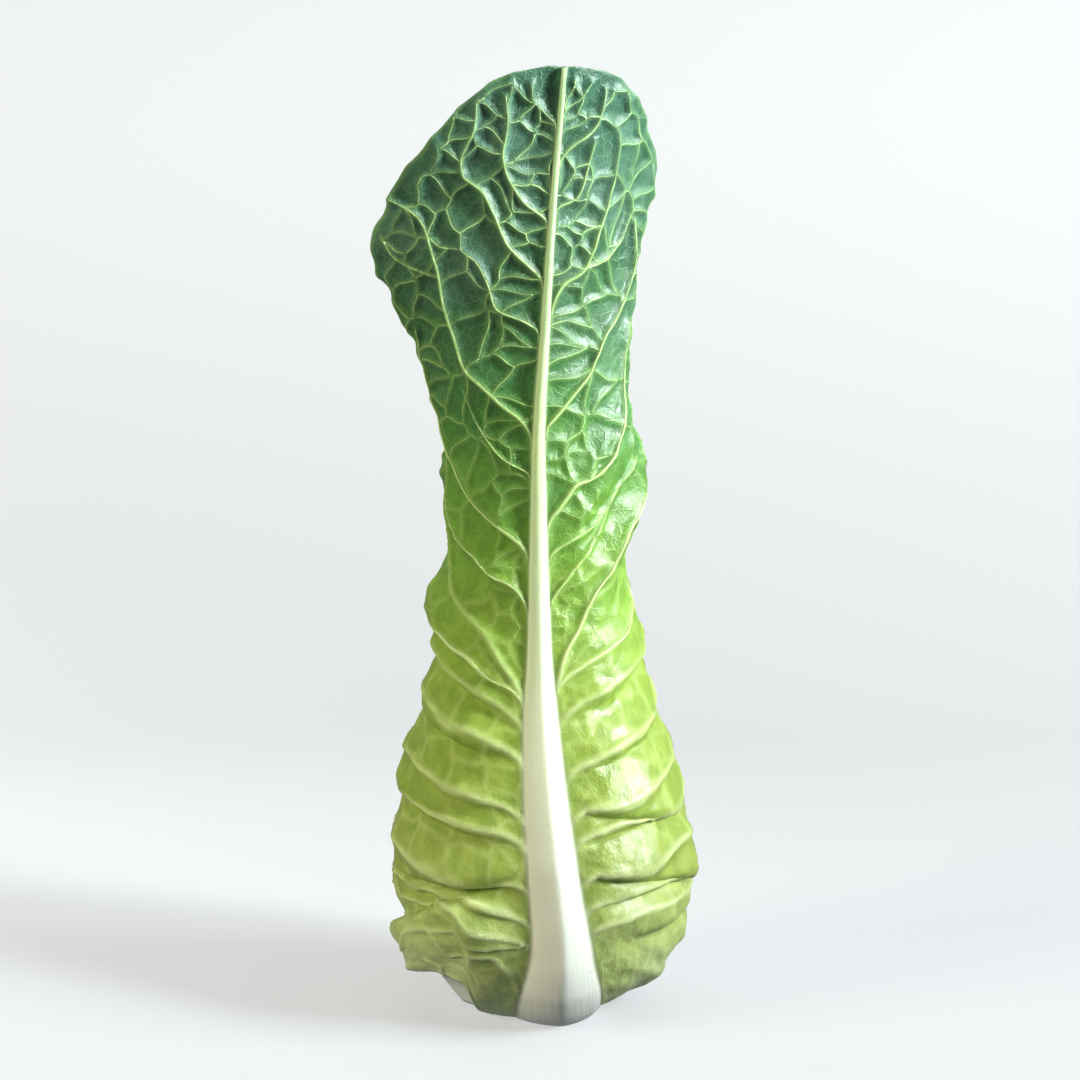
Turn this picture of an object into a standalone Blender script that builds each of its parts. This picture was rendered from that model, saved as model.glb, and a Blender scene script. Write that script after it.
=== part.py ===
"""A pointed cabbage standing upright on its cut stem. Metres, +Z up.

The origin is on the ground under the middle of the stem. A cone of tightly wrapped heart
leaves sits on a short stem, and five wrapper leaves lie round it in nested layers. Each
wrapper leaf has a raised midrib, side veins and waved edges. The outermost one faces -Y
and spreads into a broad blade above the head.

A leaf is a grid of rows and columns. Its rows run out from the midrib along the side veins,
and its columns run up the leaf, so that ribs and veins follow the grid.
"""

import math

import bpy
import numpy as np

# The whole head, in metres
HEIGHT = 0.331  # ground to the top of the tallest leaf
BLADE = 0.0011  # thickness of a leaf's blade
EDGE = 0.0008  # thickness of a leaf's edge
SHARP_EDGE = math.radians(60)  # corners sharper than this are drawn sharp on a leaf
SHARP_STEP = math.radians(40)  # the same on the heart
LAYERS = 4  # steps between the innermost and the outermost wrapper leaf

# (height, radius) of the inner face of the outermost and the innermost wrapper leaf
OUTER_SHELL = [
    (0.0, 0.0215), (0.005, 0.0298), (0.010, 0.0358), (0.017, 0.0420), (0.030, 0.0480),
    (0.045, 0.0502), (0.060, 0.0503), (0.075, 0.0480), (0.090, 0.0446), (0.107, 0.0396),
    (0.127, 0.0346), (0.147, 0.0316), (0.170, 0.0302), (0.200, 0.0302), (0.240, 0.0308),
    (0.270, 0.0318), (0.300, 0.0325), (0.331, 0.0330),
]
INNER_SHELL = [
    (0.0, 0.0205), (0.005, 0.0215), (0.010, 0.0235), (0.017, 0.0280), (0.030, 0.0338),
    (0.045, 0.0371), (0.060, 0.0378), (0.075, 0.0356), (0.090, 0.0320), (0.107, 0.0268),
    (0.127, 0.0216), (0.147, 0.0185), (0.170, 0.0168), (0.200, 0.0158), (0.240, 0.0152),
    (0.270, 0.0160), (0.300, 0.0165), (0.331, 0.0170),
]

# (share of the leaf's height, half width) of the midrib, and its (share, height above the blade)
RIB_HALF_WIDTH = [
    (0.0, 0.0160), (0.04, 0.0146), (0.09, 0.0108), (0.14, 0.0092), (0.24, 0.0076), (0.34, 0.0056),
    (0.40, 0.0041), (0.55, 0.0030), (0.66, 0.0023), (0.76, 0.0019), (0.86, 0.0014), (1.0, 0.0009),
]
RIB_HEIGHT = [
    (0.0, 0.0085), (0.04, 0.0072), (0.10, 0.0054), (0.20, 0.0042), (0.35, 0.0031), (0.55, 0.0021),
    (0.76, 0.0014), (1.0, 0.0007),
]
RIB_COLUMNS = 0.16  # share of a side's columns that lie on the midrib

# Where the side veins leave the midrib, as shares of the leaf's height
SIDE_VEINS = [
    0.100, 0.136, 0.170, 0.205, 0.240, 0.282, 0.322, 0.365, 0.430, 0.500, 0.565, 0.630, 0.700,
    0.770, 0.835, 0.890, 0.940,
]
VEIN_HEIGHT = [(0.0, 0.0010), (0.3, 0.0014), (0.6, 0.0016), (1.0, 0.0008)]
LOWEST_VEIN = 0.05  # share of the height below which the blade has neither vein nor swelling
VEIN_SHARPNESS = 2.2  # how fast a vein falls off to the blade beside it
PUFF_SHARPNESS = 1.3  # the same of the swelling along each vein
WAVE_LENGTH = 0.0065  # of the edge's waves up the leaf, divided by a full turn
WAVE_POWER = 4  # how closely the waves keep to the edge
WAVE_LOW = 0.4  # size of the waves at the foot, as a share of those at the top
WAVE_GROWTH = (0.4, 0.7)  # shares of the height between which the waves grow
THINNING_POWER = 6  # how closely the blade's thinning keeps to the edge
VEIN_POWER = 3  # the same of the side veins, which end before the edge
BESIDE_RIB = 0.25  # share of the columns over which veins and swellings start beside the midrib
BELLY_TOP = (0.42, 0.62)  # shares of the height between which the swellings end
KEEL_POWER = 0.75  # roundness of the midrib's ridge

# (share of the height where a row leaves the midrib, half width, height at the edge) of the
# flat leaf, for the front leaf's two sides
LEFT_EDGE = [
    (0.0, 0.056, 0.020), (0.05, 0.073, 0.027), (0.10, 0.084, 0.041), (0.16, 0.089, 0.060),
    (0.21, 0.088, 0.083), (0.26, 0.083, 0.106), (0.31, 0.075, 0.130), (0.36, 0.067, 0.152),
    (0.41, 0.060, 0.174), (0.46, 0.055, 0.196), (0.51, 0.0535, 0.218), (0.55, 0.053, 0.234),
    (0.60, 0.0570, 0.252), (0.66, 0.0645, 0.271), (0.72, 0.0575, 0.286), (0.78, 0.0485, 0.300),
    (0.85, 0.039, 0.312), (0.92, 0.027, 0.3235), (0.97, 0.014, 0.3295), (1.0, 0.005, 0.331),
]
# The same at the foot of the front leaf's two sides, which reach further down
FRONT_LEFT_FOOT = [(0.0, 0.060, 0.004), (0.05, 0.073, 0.019), (0.10, 0.084, 0.038)]
FRONT_RIGHT_FOOT = [(0.0, 0.041, 0.004), (0.05, 0.067, 0.020), (0.10, 0.080, 0.040)]
RIGHT_EDGE = [
    (0.0, 0.054, 0.017), (0.05, 0.071, 0.027), (0.10, 0.080, 0.041), (0.16, 0.085, 0.061),
    (0.21, 0.084, 0.084), (0.26, 0.080, 0.106), (0.31, 0.073, 0.130), (0.36, 0.065, 0.152),
    (0.41, 0.058, 0.174), (0.46, 0.053, 0.196), (0.51, 0.050, 0.218), (0.57, 0.049, 0.242),
    (0.63, 0.050, 0.264), (0.69, 0.052, 0.283), (0.74, 0.050, 0.297), (0.80, 0.041, 0.310),
    (0.86, 0.032, 0.319), (0.92, 0.022, 0.3265), (0.97, 0.012, 0.330), (1.0, 0.005, 0.331),
]
# The front leaf's lower left, as (distance from the midrib, height): a lobe stands out below a
# fold line, and the margin under it is lifted off the ground
LOBE_LINE = [(0.010, 0.047), (0.020, 0.0515), (0.032, 0.050), (0.055, 0.040), (0.080, 0.030)]
LOBE_START = (0.012, 0.032)  # distances between which it grows
LOBE_END = (0.078, 0.092)  # and fades, round the side
LOBE_OUT = 0.0056  # how far it stands out
LOBE_STEP = 0.0050  # height over which it comes out
LOBE_RISE = 0.0030  # how far its top stands up over the fold
LOBE_TUCK = 0.0010  # how far the blade above is tucked in
LOBE_TURN = (0.010, 0.024)  # distances below the line between which it turns in again
LOBE_TURNED = 0.35  # share of LOBE_OUT that it turns in
HEM_START = (0.044, 0.060)  # distances from the midrib between which its hem starts to curl out
HEM_OUT = 0.0042
FOOT_LIFT = [
    (0.0, 0.0), (0.022, 0.0), (0.028, 0.002), (0.033, 0.018), (0.045, 0.019), (0.055, 0.015),
    (0.065, 0.010), (0.080, 0.006),
]
LIFT_TOP = 0.055  # height from which nothing is lifted

# (share of the height, power) of the way a row climbs from the midrib to the edge
ROW_BEND = [(0.0, 2.4), (0.1, 1.5), (0.3, 1.15), (0.6, 1.2), (0.8, 1.5), (1.0, 2.1)]


def profile(knots, x):
    """The smooth curve through (x, value) knots, held level beyond its ends."""
    at, value = np.array(knots, float).T
    secant = np.diff(value) / np.diff(at)
    before, after = secant[:-1], secant[1:]
    level = before * after <= 0
    inner = np.where(level, 0.0, 2 * before * after / np.where(level, 1.0, before + after))
    slope = np.concatenate([secant[:1], inner, secant[-1:]])
    x = np.clip(x, at[0], at[-1])
    i = np.clip(np.searchsorted(at, x, side="right") - 1, 0, len(at) - 2)
    step = at[i + 1] - at[i]
    f = (x - at[i]) / step
    ends = value[i] * (1 + 2 * f) * (1 - f) ** 2 + value[i + 1] * f * f * (3 - 2 * f)
    return ends + step * f * (1 - f) * (slope[i] * (1 - f) - slope[i + 1] * f)


def between(ends, x):
    """0 below the first end, 1 above the second and straight between them."""
    return np.clip((x - ends[0]) / (ends[1] - ends[0]), 0.0, 1.0)


def smooth(low, high, x):
    """0 below low and 1 above high, without a kink."""
    share = between((low, high), x)
    return share * share * (3 - 2 * share)


def shell(height, layer):
    """Radius of a layer's inner face. Layer 0 is the innermost and LAYERS the outermost."""
    share = layer / LAYERS
    return profile(OUTER_SHELL, height) * share + profile(INNER_SHELL, height) * (1 - share)


class Leaf:
    """One wrapper leaf: where it grows, how big it is and how its blade is bent."""

    def __init__(self, name, azimuth, layer, height, **shape):
        self.name = name
        self.azimuth = math.radians(azimuth)  # 0 faces -Y, and 90 faces +X
        self.layer = layer
        self.height = height
        self.base = shape.get("base", 0.0)  # height of the leaf's foot
        self.width = shape.get("width", 1.0)  # times the front leaf's width
        self.rib = shape.get("rib", 1.0)  # times the front leaf's midrib
        self.lean = shape.get("lean", [(0.0, 0.0), (1.0, 0.0)])  # (height, midrib shifted sideways)
        self.flare = shape.get("flare", [(0.0, 0.0), (1.0, 0.0)])  # (height, midrib pushed out)
        self.unroll = shape.get("unroll", [(0.0, 1.0), (1.0, 1.0)])  # (height, radius of bend, in shells)
        self.unroll_right = shape.get("unroll_right", self.unroll)  # the same on the right side
        self.puff = shape.get("puff", 0.0010)  # how far the blade swells between its veins
        self.wave = shape.get("wave", 0.0012)  # how far its edge waves
        self.vein = shape.get("vein", 0.5)  # times the front leaf's side veins
        self.creases = shape.get("creases", [])
        self.bumps = shape.get("bumps", [])  # (across, height, push, reach) of soft swellings
        self.left = shape.get("left", LEFT_EDGE)
        self.right = shape.get("right", RIGHT_EDGE)
        self.lobed = shape.get("lobed", False)  # whether a lobe stands out at its lower left
        self.phase = shape.get("phase", 0.0)

    def edge(self, right, v):
        """Half width and edge height of row v, on the right or left side."""
        knots = self.right if right else self.left
        width = profile([(k[0], k[1]) for k in knots], v) * self.width
        height = profile([(k[0], k[2]) for k in knots], v) * (self.height - self.base) / HEIGHT
        return width, height + self.base


class Crease:
    """A fold line across one side of a blade. The blade above it hangs over the blade below."""

    FADE = 0.6  # power of the way it fades in and out along its line
    TURN = 0.25  # half width of the turn from below the line to above it, in reaches
    SPREAD = 0.35  # how far the slide spreads, in reaches squared
    BELOW = 0.5  # how far the blade below the line goes in, as a share of the push

    def __init__(self, side, start, end, push, drop, reach, sag=0.0):
        self.side = side  # -1 left, 1 right
        self.start = start  # (distance from the midrib, height)
        self.end = end
        self.push = push  # how far the blade is pushed out above the line
        self.drop = drop  # how far it slides down over the line
        self.reach = reach  # height of the fold
        self.sag = sag  # rise of the line's middle

    def at(self, across, height):
        """Outward push and downward slide of the points of the flat leaf."""
        along = (across * self.side - self.start[0]) / (self.end[0] - self.start[0])
        inside = np.clip(along, 0.0, 1.0)
        here = (along > 0) & (across * self.side > 0)
        window = np.where(here, np.sin(math.pi * inside) ** self.FADE, 0.0)
        line = self.start[1] + (self.end[1] - self.start[1]) * inside + self.sag * np.sin(math.pi * inside)
        s = (height - line) / self.reach
        push = np.tanh(s / self.TURN) * np.exp(-np.abs(s)) * np.where(s > 0, 1.0, self.BELOW)
        slide = np.exp(-((s - self.TURN) ** 2) / self.SPREAD)
        return self.push * window * push, self.drop * window * slide


def flat_leaf(leaf, v, u):
    """Distance from the midrib and height of the grid points of the flat leaf. u is -1 to 1."""
    v, u = np.meshgrid(v, u, indexing="ij")
    side = np.abs(u)
    rib = profile(RIB_HALF_WIDTH, v) * leaf.rib
    left, right = leaf.edge(False, v), leaf.edge(True, v)
    width = np.where(u < 0, left[0], right[0])
    edge = np.where(u < 0, left[1], right[1])
    beyond = np.clip((side - RIB_COLUMNS) / (1 - RIB_COLUMNS), 0.0, 1.0)
    distance = np.where(side < RIB_COLUMNS, side / RIB_COLUMNS * rib, rib + beyond * (width - rib))
    share = distance / width
    middle = leaf.base + v * (leaf.height - leaf.base)
    height = middle + (edge - middle) * share ** profile(ROW_BEND, v)
    return v, u, np.sign(u) * distance, height, share


def lifted(leaf, across, height):
    """Height of the flat leaf's points with the left margin of the foot lifted."""
    if not leaf.lobed:
        return height
    return height + profile(FOOT_LIFT, -across) * np.maximum(1 - height / LIFT_TOP, 0.0)


def lobe(leaf, across, height):
    """Outward push and downward slide of the lobe that stands out below its fold line."""
    if not leaf.lobed:
        return np.zeros_like(height), np.zeros_like(height)
    below = profile(LOBE_LINE, -across) - height
    here = smooth(*LOBE_START, -across) * (1 - smooth(*LOBE_END, -across))
    turned = smooth(*LOBE_TURN, below)
    out = LOBE_OUT * smooth(0.0, LOBE_STEP, below) * (1 - LOBE_TURNED * turned)
    out += HEM_OUT * turned**2 * smooth(*HEM_START, -across)
    out -= LOBE_TUCK * np.exp(-((below / LOBE_STEP + 1) ** 2))
    slide = -LOBE_RISE * np.exp(-((below / LOBE_STEP - 1) ** 2))
    return out * here, slide * here


def between_veins(v):
    """0 at a side vein and 1 halfway between two."""
    ends = np.array([0.0] + SIDE_VEINS + [1.0])
    i = np.clip(np.searchsorted(ends, v, side="right") - 1, 0, len(ends) - 2)
    return np.sin(math.pi * (v - ends[i]) / (ends[i + 1] - ends[i]))


def rolled(leaf, across, height):
    """The flat leaf's points rolled round the head, and the way outwards at each."""
    circle = shell(height, leaf.layer)
    unroll = np.where(across > 0, profile(leaf.unroll_right, height), profile(leaf.unroll, height))
    bend = circle * unroll
    radius = circle + profile(leaf.flare, height)
    turn = across / bend
    side = bend * np.sin(turn)
    out = radius - bend + bend * np.cos(turn)
    azimuth = leaf.azimuth + profile(leaf.lean, height) / radius
    east, south = np.sin(azimuth), np.cos(azimuth)
    points = np.stack([out * east + side * south, -out * south + side * east, height], -1)
    outward = np.stack([np.sin(azimuth + turn), -np.cos(azimuth + turn), np.zeros_like(height)], -1)
    return points, outward


def normals_of(points):
    """Unit normals of a grid of points, on the side that faces away from the head."""
    normal = np.cross(np.gradient(points, axis=1), np.gradient(points, axis=0))
    return normal / (np.linalg.norm(normal, axis=-1, keepdims=True) + 1e-12)


def leaf_faces(leaf, v, u):
    """The inner and outer face of a leaf, as two grids of points."""
    v, u, across, height, share = flat_leaf(leaf, v, u)
    beside = np.clip((np.abs(u) - RIB_COLUMNS) / BESIDE_RIB, 0.0, 1.0)
    belly = 1 - between(BELLY_TOP, v)
    veined = beside * (v > LOWEST_VEIN)
    push = leaf.puff * (1 - between_veins(v)) ** PUFF_SHARPNESS * belly * veined
    wave = (1 + np.sin(height / WAVE_LENGTH + np.sign(u) + leaf.phase)) / 2
    growth = WAVE_LOW + (1 - WAVE_LOW) * between(WAVE_GROWTH, v)
    push = push + leaf.wave * wave * share**WAVE_POWER * growth
    height = lifted(leaf, across, height)
    out, slide = lobe(leaf, across, height)
    push += out
    for crease in leaf.creases:
        out, down = crease.at(across, height)
        push += out
        slide += down
    for at, level, swell, reach in leaf.bumps:
        push += swell * np.exp(-((across - at) ** 2 + (height - level) ** 2) / reach**2)
    height = np.maximum(height - slide, 0.0)
    inner, outward = rolled(leaf, across, height)
    inner = inner + outward * push[..., None]

    rib = profile(RIB_HALF_WIDTH, v) * leaf.rib
    keel = np.clip(1 - (np.abs(across) / rib), 0.0, 1.0) ** KEEL_POWER
    rib_height = profile(RIB_HEIGHT, v) * leaf.rib * keel
    vein = np.clip(1 - between_veins(v) * VEIN_SHARPNESS, 0.0, 1.0) * (1 - share**VEIN_POWER)
    vein_height = profile(VEIN_HEIGHT, v) * vein * veined * leaf.vein
    thickness = (BLADE + (EDGE - BLADE) * share**THINNING_POWER)[..., None]
    outer = inner + normals_of(inner) * thickness
    outer += outward * (rib_height + vein_height)[..., None]
    outer[..., 2] = np.maximum(outer[..., 2], 0.0)
    return inner, outer


def sheet_solid(name, inner, outer, material):
    """One closed solid between two grids of points, split into triangles alike on both."""
    rows, columns = inner.shape[:2]
    count = rows * columns
    index = np.arange(count).reshape(rows, columns)
    a, b, c, d = index[:-1, :-1], index[:-1, 1:], index[1:, 1:], index[1:, :-1]
    left = (np.arange(columns - 1) < (columns - 1) / 2)[None, :]
    first = np.where(left[..., None], np.stack([a, b, c], -1), np.stack([a, b, d], -1))
    second = np.where(left[..., None], np.stack([a, c, d], -1), np.stack([b, c, d], -1))
    front = np.concatenate([first.reshape(-1, 3), second.reshape(-1, 3)])
    back = front[:, ::-1] + count
    rim = np.concatenate([index[0, :], index[1:, -1], index[-1, -2::-1], index[-2:0:-1, 0]])
    after = np.roll(rim, -1)
    side = np.concatenate([np.stack([rim, rim + count, after], -1),
                           np.stack([after, rim + count, after + count], -1)])
    points = np.concatenate([outer.reshape(-1, 3), inner.reshape(-1, 3)])
    faces = np.concatenate([front, back, side])
    mesh = bpy.data.meshes.new(name)
    mesh.from_pydata(points.tolist(), [], faces.tolist())
    mesh.update()
    mesh.shade_smooth()
    mesh.set_sharp_from_angle(angle=SHARP_EDGE)
    return add_object(name, mesh, material)


def add_object(name, mesh, material):
    mesh.materials.append(material)
    obj = bpy.data.objects.new(name, mesh)
    bpy.context.scene.collection.objects.link(obj)
    return obj


def plant_material(name, colour, roughness):
    material = bpy.data.materials.new(name)
    material.use_nodes = True
    shader = material.node_tree.nodes["Principled BSDF"]
    shader.inputs["Base Color"].default_value = (*colour, 1.0)
    shader.inputs["Roughness"].default_value = roughness
    shader.inputs["Metallic"].default_value = 0.0
    return material


# The five wrapper leaves, two fifths of a turn from one to the next
FRONT_CREASES = [
    Crease(-1, (0.012, 0.061), (0.078, 0.055), 0.0030, 0.0036, 0.008),
    Crease(-1, (0.014, 0.100), (0.070, 0.116), 0.0018, 0.0018, 0.007),
    Crease(-1, (0.020, 0.080), (0.074, 0.084), 0.0014, 0.0016, 0.007),
    Crease(1, (0.014, 0.081), (0.078, 0.073), 0.0032, 0.0038, 0.009, sag=0.003),
    Crease(1, (0.016, 0.059), (0.080, 0.050), 0.0030, 0.0034, 0.008, sag=0.002),
    Crease(1, (0.026, 0.036), (0.076, 0.042), 0.0020, 0.0020, 0.007),
]
FRONT_BUMPS = [
    (0.047, 0.193, 0.0055, 0.015), (-0.050, 0.147, 0.0060, 0.011), (-0.047, 0.196, 0.0028, 0.009),
    (0.060, 0.060, 0.0030, 0.010), (-0.066, 0.088, 0.0022, 0.010), (0.050, 0.128, 0.0016, 0.009),
    (0.062, 0.026, 0.0058, 0.012), (0.047, 0.160, -0.0012, 0.014), (0.042, 0.010, 0.0050, 0.011),
]
WRAPPERS = [
    Leaf(
        "leaf_front", 0, 4, HEIGHT, puff=0.0020, wave=0.0016, vein=1.0, creases=FRONT_CREASES,
        bumps=FRONT_BUMPS, left=FRONT_LEFT_FOOT + LEFT_EDGE[3:], lobed=True,
        right=FRONT_RIGHT_FOOT + RIGHT_EDGE[3:],
        lean=[(0.0, 0.0075), (0.03, 0.0075), (0.06, 0.0045), (0.09, 0.0015), (0.12, 0.0),
              (0.20, -0.0005), (0.25, 0.0020), (0.29, 0.0045), (0.331, 0.0080)],
        flare=[(0.0, 0.0), (0.230, 0.0), (0.270, 0.0018), (0.300, 0.0050), (0.331, 0.0105)],
        unroll=[(0.0, 1.0), (0.200, 1.0), (0.215, 1.15), (0.235, 1.6), (0.255, 2.4), (0.275, 3.2),
                (0.300, 3.5), (0.331, 3.6)],
        unroll_right=[(0.0, 1.0), (0.215, 1.0), (0.250, 1.04), (0.275, 1.14), (0.298, 1.35),
                      (0.331, 1.70)],
    ),
    Leaf(
        "leaf_back_right", 144, 3, 0.292, width=0.78, rib=0.90, puff=0.0007, wave=0.0010, phase=2.0,
        flare=[(0.0, 0.0), (0.215, 0.0), (0.250, 0.0012), (0.292, 0.0060)],
        unroll_right=[(0.0, 1.0), (0.235, 1.0), (0.262, 1.25), (0.292, 1.5)],
        lean=[(0.0, 0.0), (0.10, 0.002), (0.20, 0.0), (0.292, -0.003)],
    ),
    Leaf(
        "leaf_left", -72, 2, 0.268, width=0.80, rib=0.62, base=0.002, puff=0.0006, wave=0.0004, phase=4.0,
        flare=[(0.0, 0.0), (0.215, 0.0), (0.240, 0.0015), (0.268, 0.0050)],
    ),
    Leaf(
        "leaf_right", 72, 1, 0.250, width=0.74, rib=0.50, base=0.006, puff=0.0006, wave=0.0004,
        phase=1.0, flare=[(0.0, 0.0), (0.205, 0.0), (0.250, 0.0035)],
    ),
    Leaf(
        "leaf_back_left", -144, 0, 0.234, width=0.68, rib=0.48, base=0.008, puff=0.0005, wave=0.0005,
        phase=3.0, flare=[(0.0, 0.0), (0.200, 0.0), (0.234, 0.0020)],
    ),
]
LEAF_ROWS = {"leaf_front": 1, "leaf_back_right": 1}  # rows between one side vein and the next
FOOT_ROWS = {"leaf_front": 4, "leaf_back_right": 2}  # steps below the lowest side vein
OTHER_FOOT_ROWS = 4
LEAF_COLUMNS = {"leaf_front": 9, "leaf_back_right": 7}  # blade columns on each side
OTHER_COLUMNS = 6

# The heart: (height, radius) of the cone, and the edges of the leaves wrapped round it
HEART = [
    (0.0195, 0.0120), (0.0225, 0.0175), (0.028, 0.0235), (0.036, 0.0290), (0.046, 0.0325),
    (0.060, 0.0336), (0.075, 0.0316), (0.090, 0.0280), (0.107, 0.0228), (0.127, 0.0176),
    (0.147, 0.0144), (0.167, 0.0124), (0.185, 0.0098), (0.197, 0.0066), (0.205, 0.0030),
]
HEART_LEAVES = 4
HEART_STEP = 0.0017  # how far one heart leaf's edge stands over the next
HEART_TWIST = 9.0  # turn of those edges with height, radians a metre
HEART_FADE = 0.012  # radius of the cone below which those edges fade
HEART_TIP = 0.002  # rise of the cone's blunt tip
HEART_COLUMNS = 32

# The stem, cut level below and hidden in the heart's foot above
STEM_RADIUS = 0.0195
STEM_TOP_RADIUS = 0.0112
STEM_HEIGHT = 0.0190
STEM_SIDES = 32
CUT_ROUNDING = 0.0008


def row_places(extra, foot_rows):
    """The shares of a leaf's height where its rows start: at the side veins and between them."""
    ends = np.linspace(0.0, SIDE_VEINS[0], foot_rows, endpoint=False).tolist() + SIDE_VEINS + [1.0]
    places = []
    for low, high in zip(ends, ends[1:]):
        steps = 1 + extra
        places += [low + (high - low) * k / steps for k in range(steps)]
    return np.array(places + [1.0])


def column_places(blade_columns):
    """Columns from edge to edge, five of them on the midrib."""
    rib = [RIB_COLUMNS, RIB_COLUMNS * 0.5]
    blade = RIB_COLUMNS + (1 - RIB_COLUMNS) * np.arange(1, blade_columns + 1) / blade_columns
    right = sorted(rib + blade.tolist())
    return np.array([-x for x in reversed(right)] + [0.0] + right)


def add_wrappers(material):
    for leaf in WRAPPERS:
        v = row_places(LEAF_ROWS.get(leaf.name, 0), FOOT_ROWS.get(leaf.name, OTHER_FOOT_ROWS))
        u = column_places(LEAF_COLUMNS.get(leaf.name, OTHER_COLUMNS))
        inner, outer = leaf_faces(leaf, v, u)
        sheet_solid(leaf.name, inner, outer, material)


def add_heart(material):
    """A cone whose radius steps down at each heart leaf's edge."""
    rows = []
    for height, radius in HEART:
        ring = []
        for k in range(HEART_COLUMNS):
            angle = 2 * math.pi * k / HEART_COLUMNS
            turn = (angle + HEART_TWIST * height) * HEART_LEAVES / (2 * math.pi)
            step = HEART_STEP * (turn % 1.0 - 0.5) * min(1.0, radius / HEART_FADE)
            ring.append(((radius + step) * math.sin(angle), -(radius + step) * math.cos(angle), height))
        rows.append(ring)
    points = [p for ring in rows for p in ring]
    points += [(0.0, 0.0, HEART[0][0]), (0.0, 0.0, HEART[-1][0] + HEART_TIP)]
    faces = []
    for r in range(len(HEART) - 1):
        for k in range(HEART_COLUMNS):
            a, b = r * HEART_COLUMNS + k, r * HEART_COLUMNS + (k + 1) % HEART_COLUMNS
            faces += [(a, b, b + HEART_COLUMNS), (a, b + HEART_COLUMNS, a + HEART_COLUMNS)]
    bottom, top = len(points) - 2, len(points) - 1
    last = (len(HEART) - 1) * HEART_COLUMNS
    for k in range(HEART_COLUMNS):
        after = (k + 1) % HEART_COLUMNS
        faces += [(bottom, after, k), (top, last + k, last + after)]
    mesh = bpy.data.meshes.new("heart")
    mesh.from_pydata(points, [], faces)
    mesh.update()
    mesh.shade_smooth()
    mesh.set_sharp_from_angle(angle=SHARP_STEP)
    add_object("heart", mesh, material)


def add_stem(material):
    bpy.ops.mesh.primitive_cone_add(
        vertices=STEM_SIDES, radius1=STEM_RADIUS, radius2=STEM_TOP_RADIUS, depth=STEM_HEIGHT,
        location=(0.0, 0.0, STEM_HEIGHT / 2),
    )
    stem = bpy.context.object
    stem.name = "stem"
    stem.data.materials.append(material)
    bevel = stem.modifiers.new("cut_edge", "BEVEL")
    bevel.width = CUT_ROUNDING
    bevel.segments = 1
    bevel.limit_method = "ANGLE"
    bevel.angle_limit = math.radians(50)


def main():
    for obj in list(bpy.data.objects):
        bpy.data.objects.remove(obj, do_unlink=True)
    add_wrappers(plant_material("leaf", (0.16, 0.30, 0.08), 0.45))
    add_heart(plant_material("heart_leaf", (0.55, 0.68, 0.30), 0.5))
    add_stem(plant_material("stem", (0.86, 0.86, 0.74), 0.55))


main()
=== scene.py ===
"""Looks of the pointed cabbage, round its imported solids. Metres, +Z up, -Y towards the camera.

Each wrapper leaf is made again on a fine grid, in the form of its solid: a flat leaf whose rows
run out from the midrib is rolled round the head in its own layer. Its side veins and the net
between them are raised ridges that lie on that grid. The heart and the stem are made again too.
"""

import math

import bpy
import numpy as np
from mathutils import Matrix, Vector, geometry, kdtree


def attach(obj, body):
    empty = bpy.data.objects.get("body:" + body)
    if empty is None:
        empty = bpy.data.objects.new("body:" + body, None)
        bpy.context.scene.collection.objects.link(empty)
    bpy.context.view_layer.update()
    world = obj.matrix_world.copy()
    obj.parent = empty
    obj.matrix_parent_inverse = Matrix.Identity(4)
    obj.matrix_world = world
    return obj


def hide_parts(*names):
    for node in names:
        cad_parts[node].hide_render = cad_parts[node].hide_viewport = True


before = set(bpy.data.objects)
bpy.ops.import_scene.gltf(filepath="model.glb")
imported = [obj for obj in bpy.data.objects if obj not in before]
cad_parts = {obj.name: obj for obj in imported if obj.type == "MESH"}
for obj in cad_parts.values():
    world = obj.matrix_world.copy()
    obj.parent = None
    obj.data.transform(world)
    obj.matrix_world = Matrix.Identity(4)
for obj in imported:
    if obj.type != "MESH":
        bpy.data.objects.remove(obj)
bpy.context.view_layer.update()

MM = 0.001


def scaled(units, rows):
    """Rows of whole numbers, each column over its unit."""
    return [tuple(n / unit for n, unit in zip(row, units)) for row in rows]


LENGTHS = (10000, 10000)  # in tenths of a millimetre
BY_SHARE = (100, 10000)  # a length by a share of the leaf's height, in percent
EDGES = (100, 10000, 10000)  # the same with two lengths
VEINS = (1000, 10)  # a share of the height and a strength

# The leaves' form, as in the part's source
HEIGHT = 0.331
BLADE = 0.001
EDGE = 0.0006
LAYERS = 4
OUTER_SHELL = scaled(LENGTHS, [
    (0, 215), (50, 298), (100, 358), (170, 420), (300, 480), (450, 502), (600, 503), (750, 480),
    (900, 446), (1070, 396), (1270, 346), (1470, 316), (1700, 302), (2000, 302), (2400, 308),
    (2700, 318), (3000, 325), (3310, 330),
])
INNER_SHELL = scaled(LENGTHS, [
    (0, 205), (50, 215), (100, 235), (170, 280), (300, 338), (450, 371), (600, 378), (750, 356),
    (900, 320), (1070, 268), (1270, 216), (1470, 185), (1700, 168), (2000, 158), (2400, 152),
    (2700, 160), (3000, 165), (3310, 170),
])
RIB_HALF_WIDTH = scaled(BY_SHARE, [
    (0, 160), (4, 146), (9, 108), (14, 92), (24, 76), (34, 56), (40, 40), (55, 26), (66, 18), (76, 14),
    (86, 11), (100, 8),
])
RIB_HEIGHT = scaled(BY_SHARE, [
    (0, 85), (4, 72), (10, 54), (20, 42), (35, 31), (55, 21), (76, 14), (97, 7), (100, 1),
])
RIB_COLUMNS = 0.16  # share of the grid's columns that lie on the midrib
RIB_STEPS = 12  # columns on one side of it
LOWEST_VEIN = 0.05
WAVE_LENGTH = 0.0065
FRONT_PUFF = 0.0032  # how far the front leaf's pleats swell out
BELLY_TOP = 0.62  # share of the height where the pleats end
BELLY_FADE = 0.2
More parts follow.
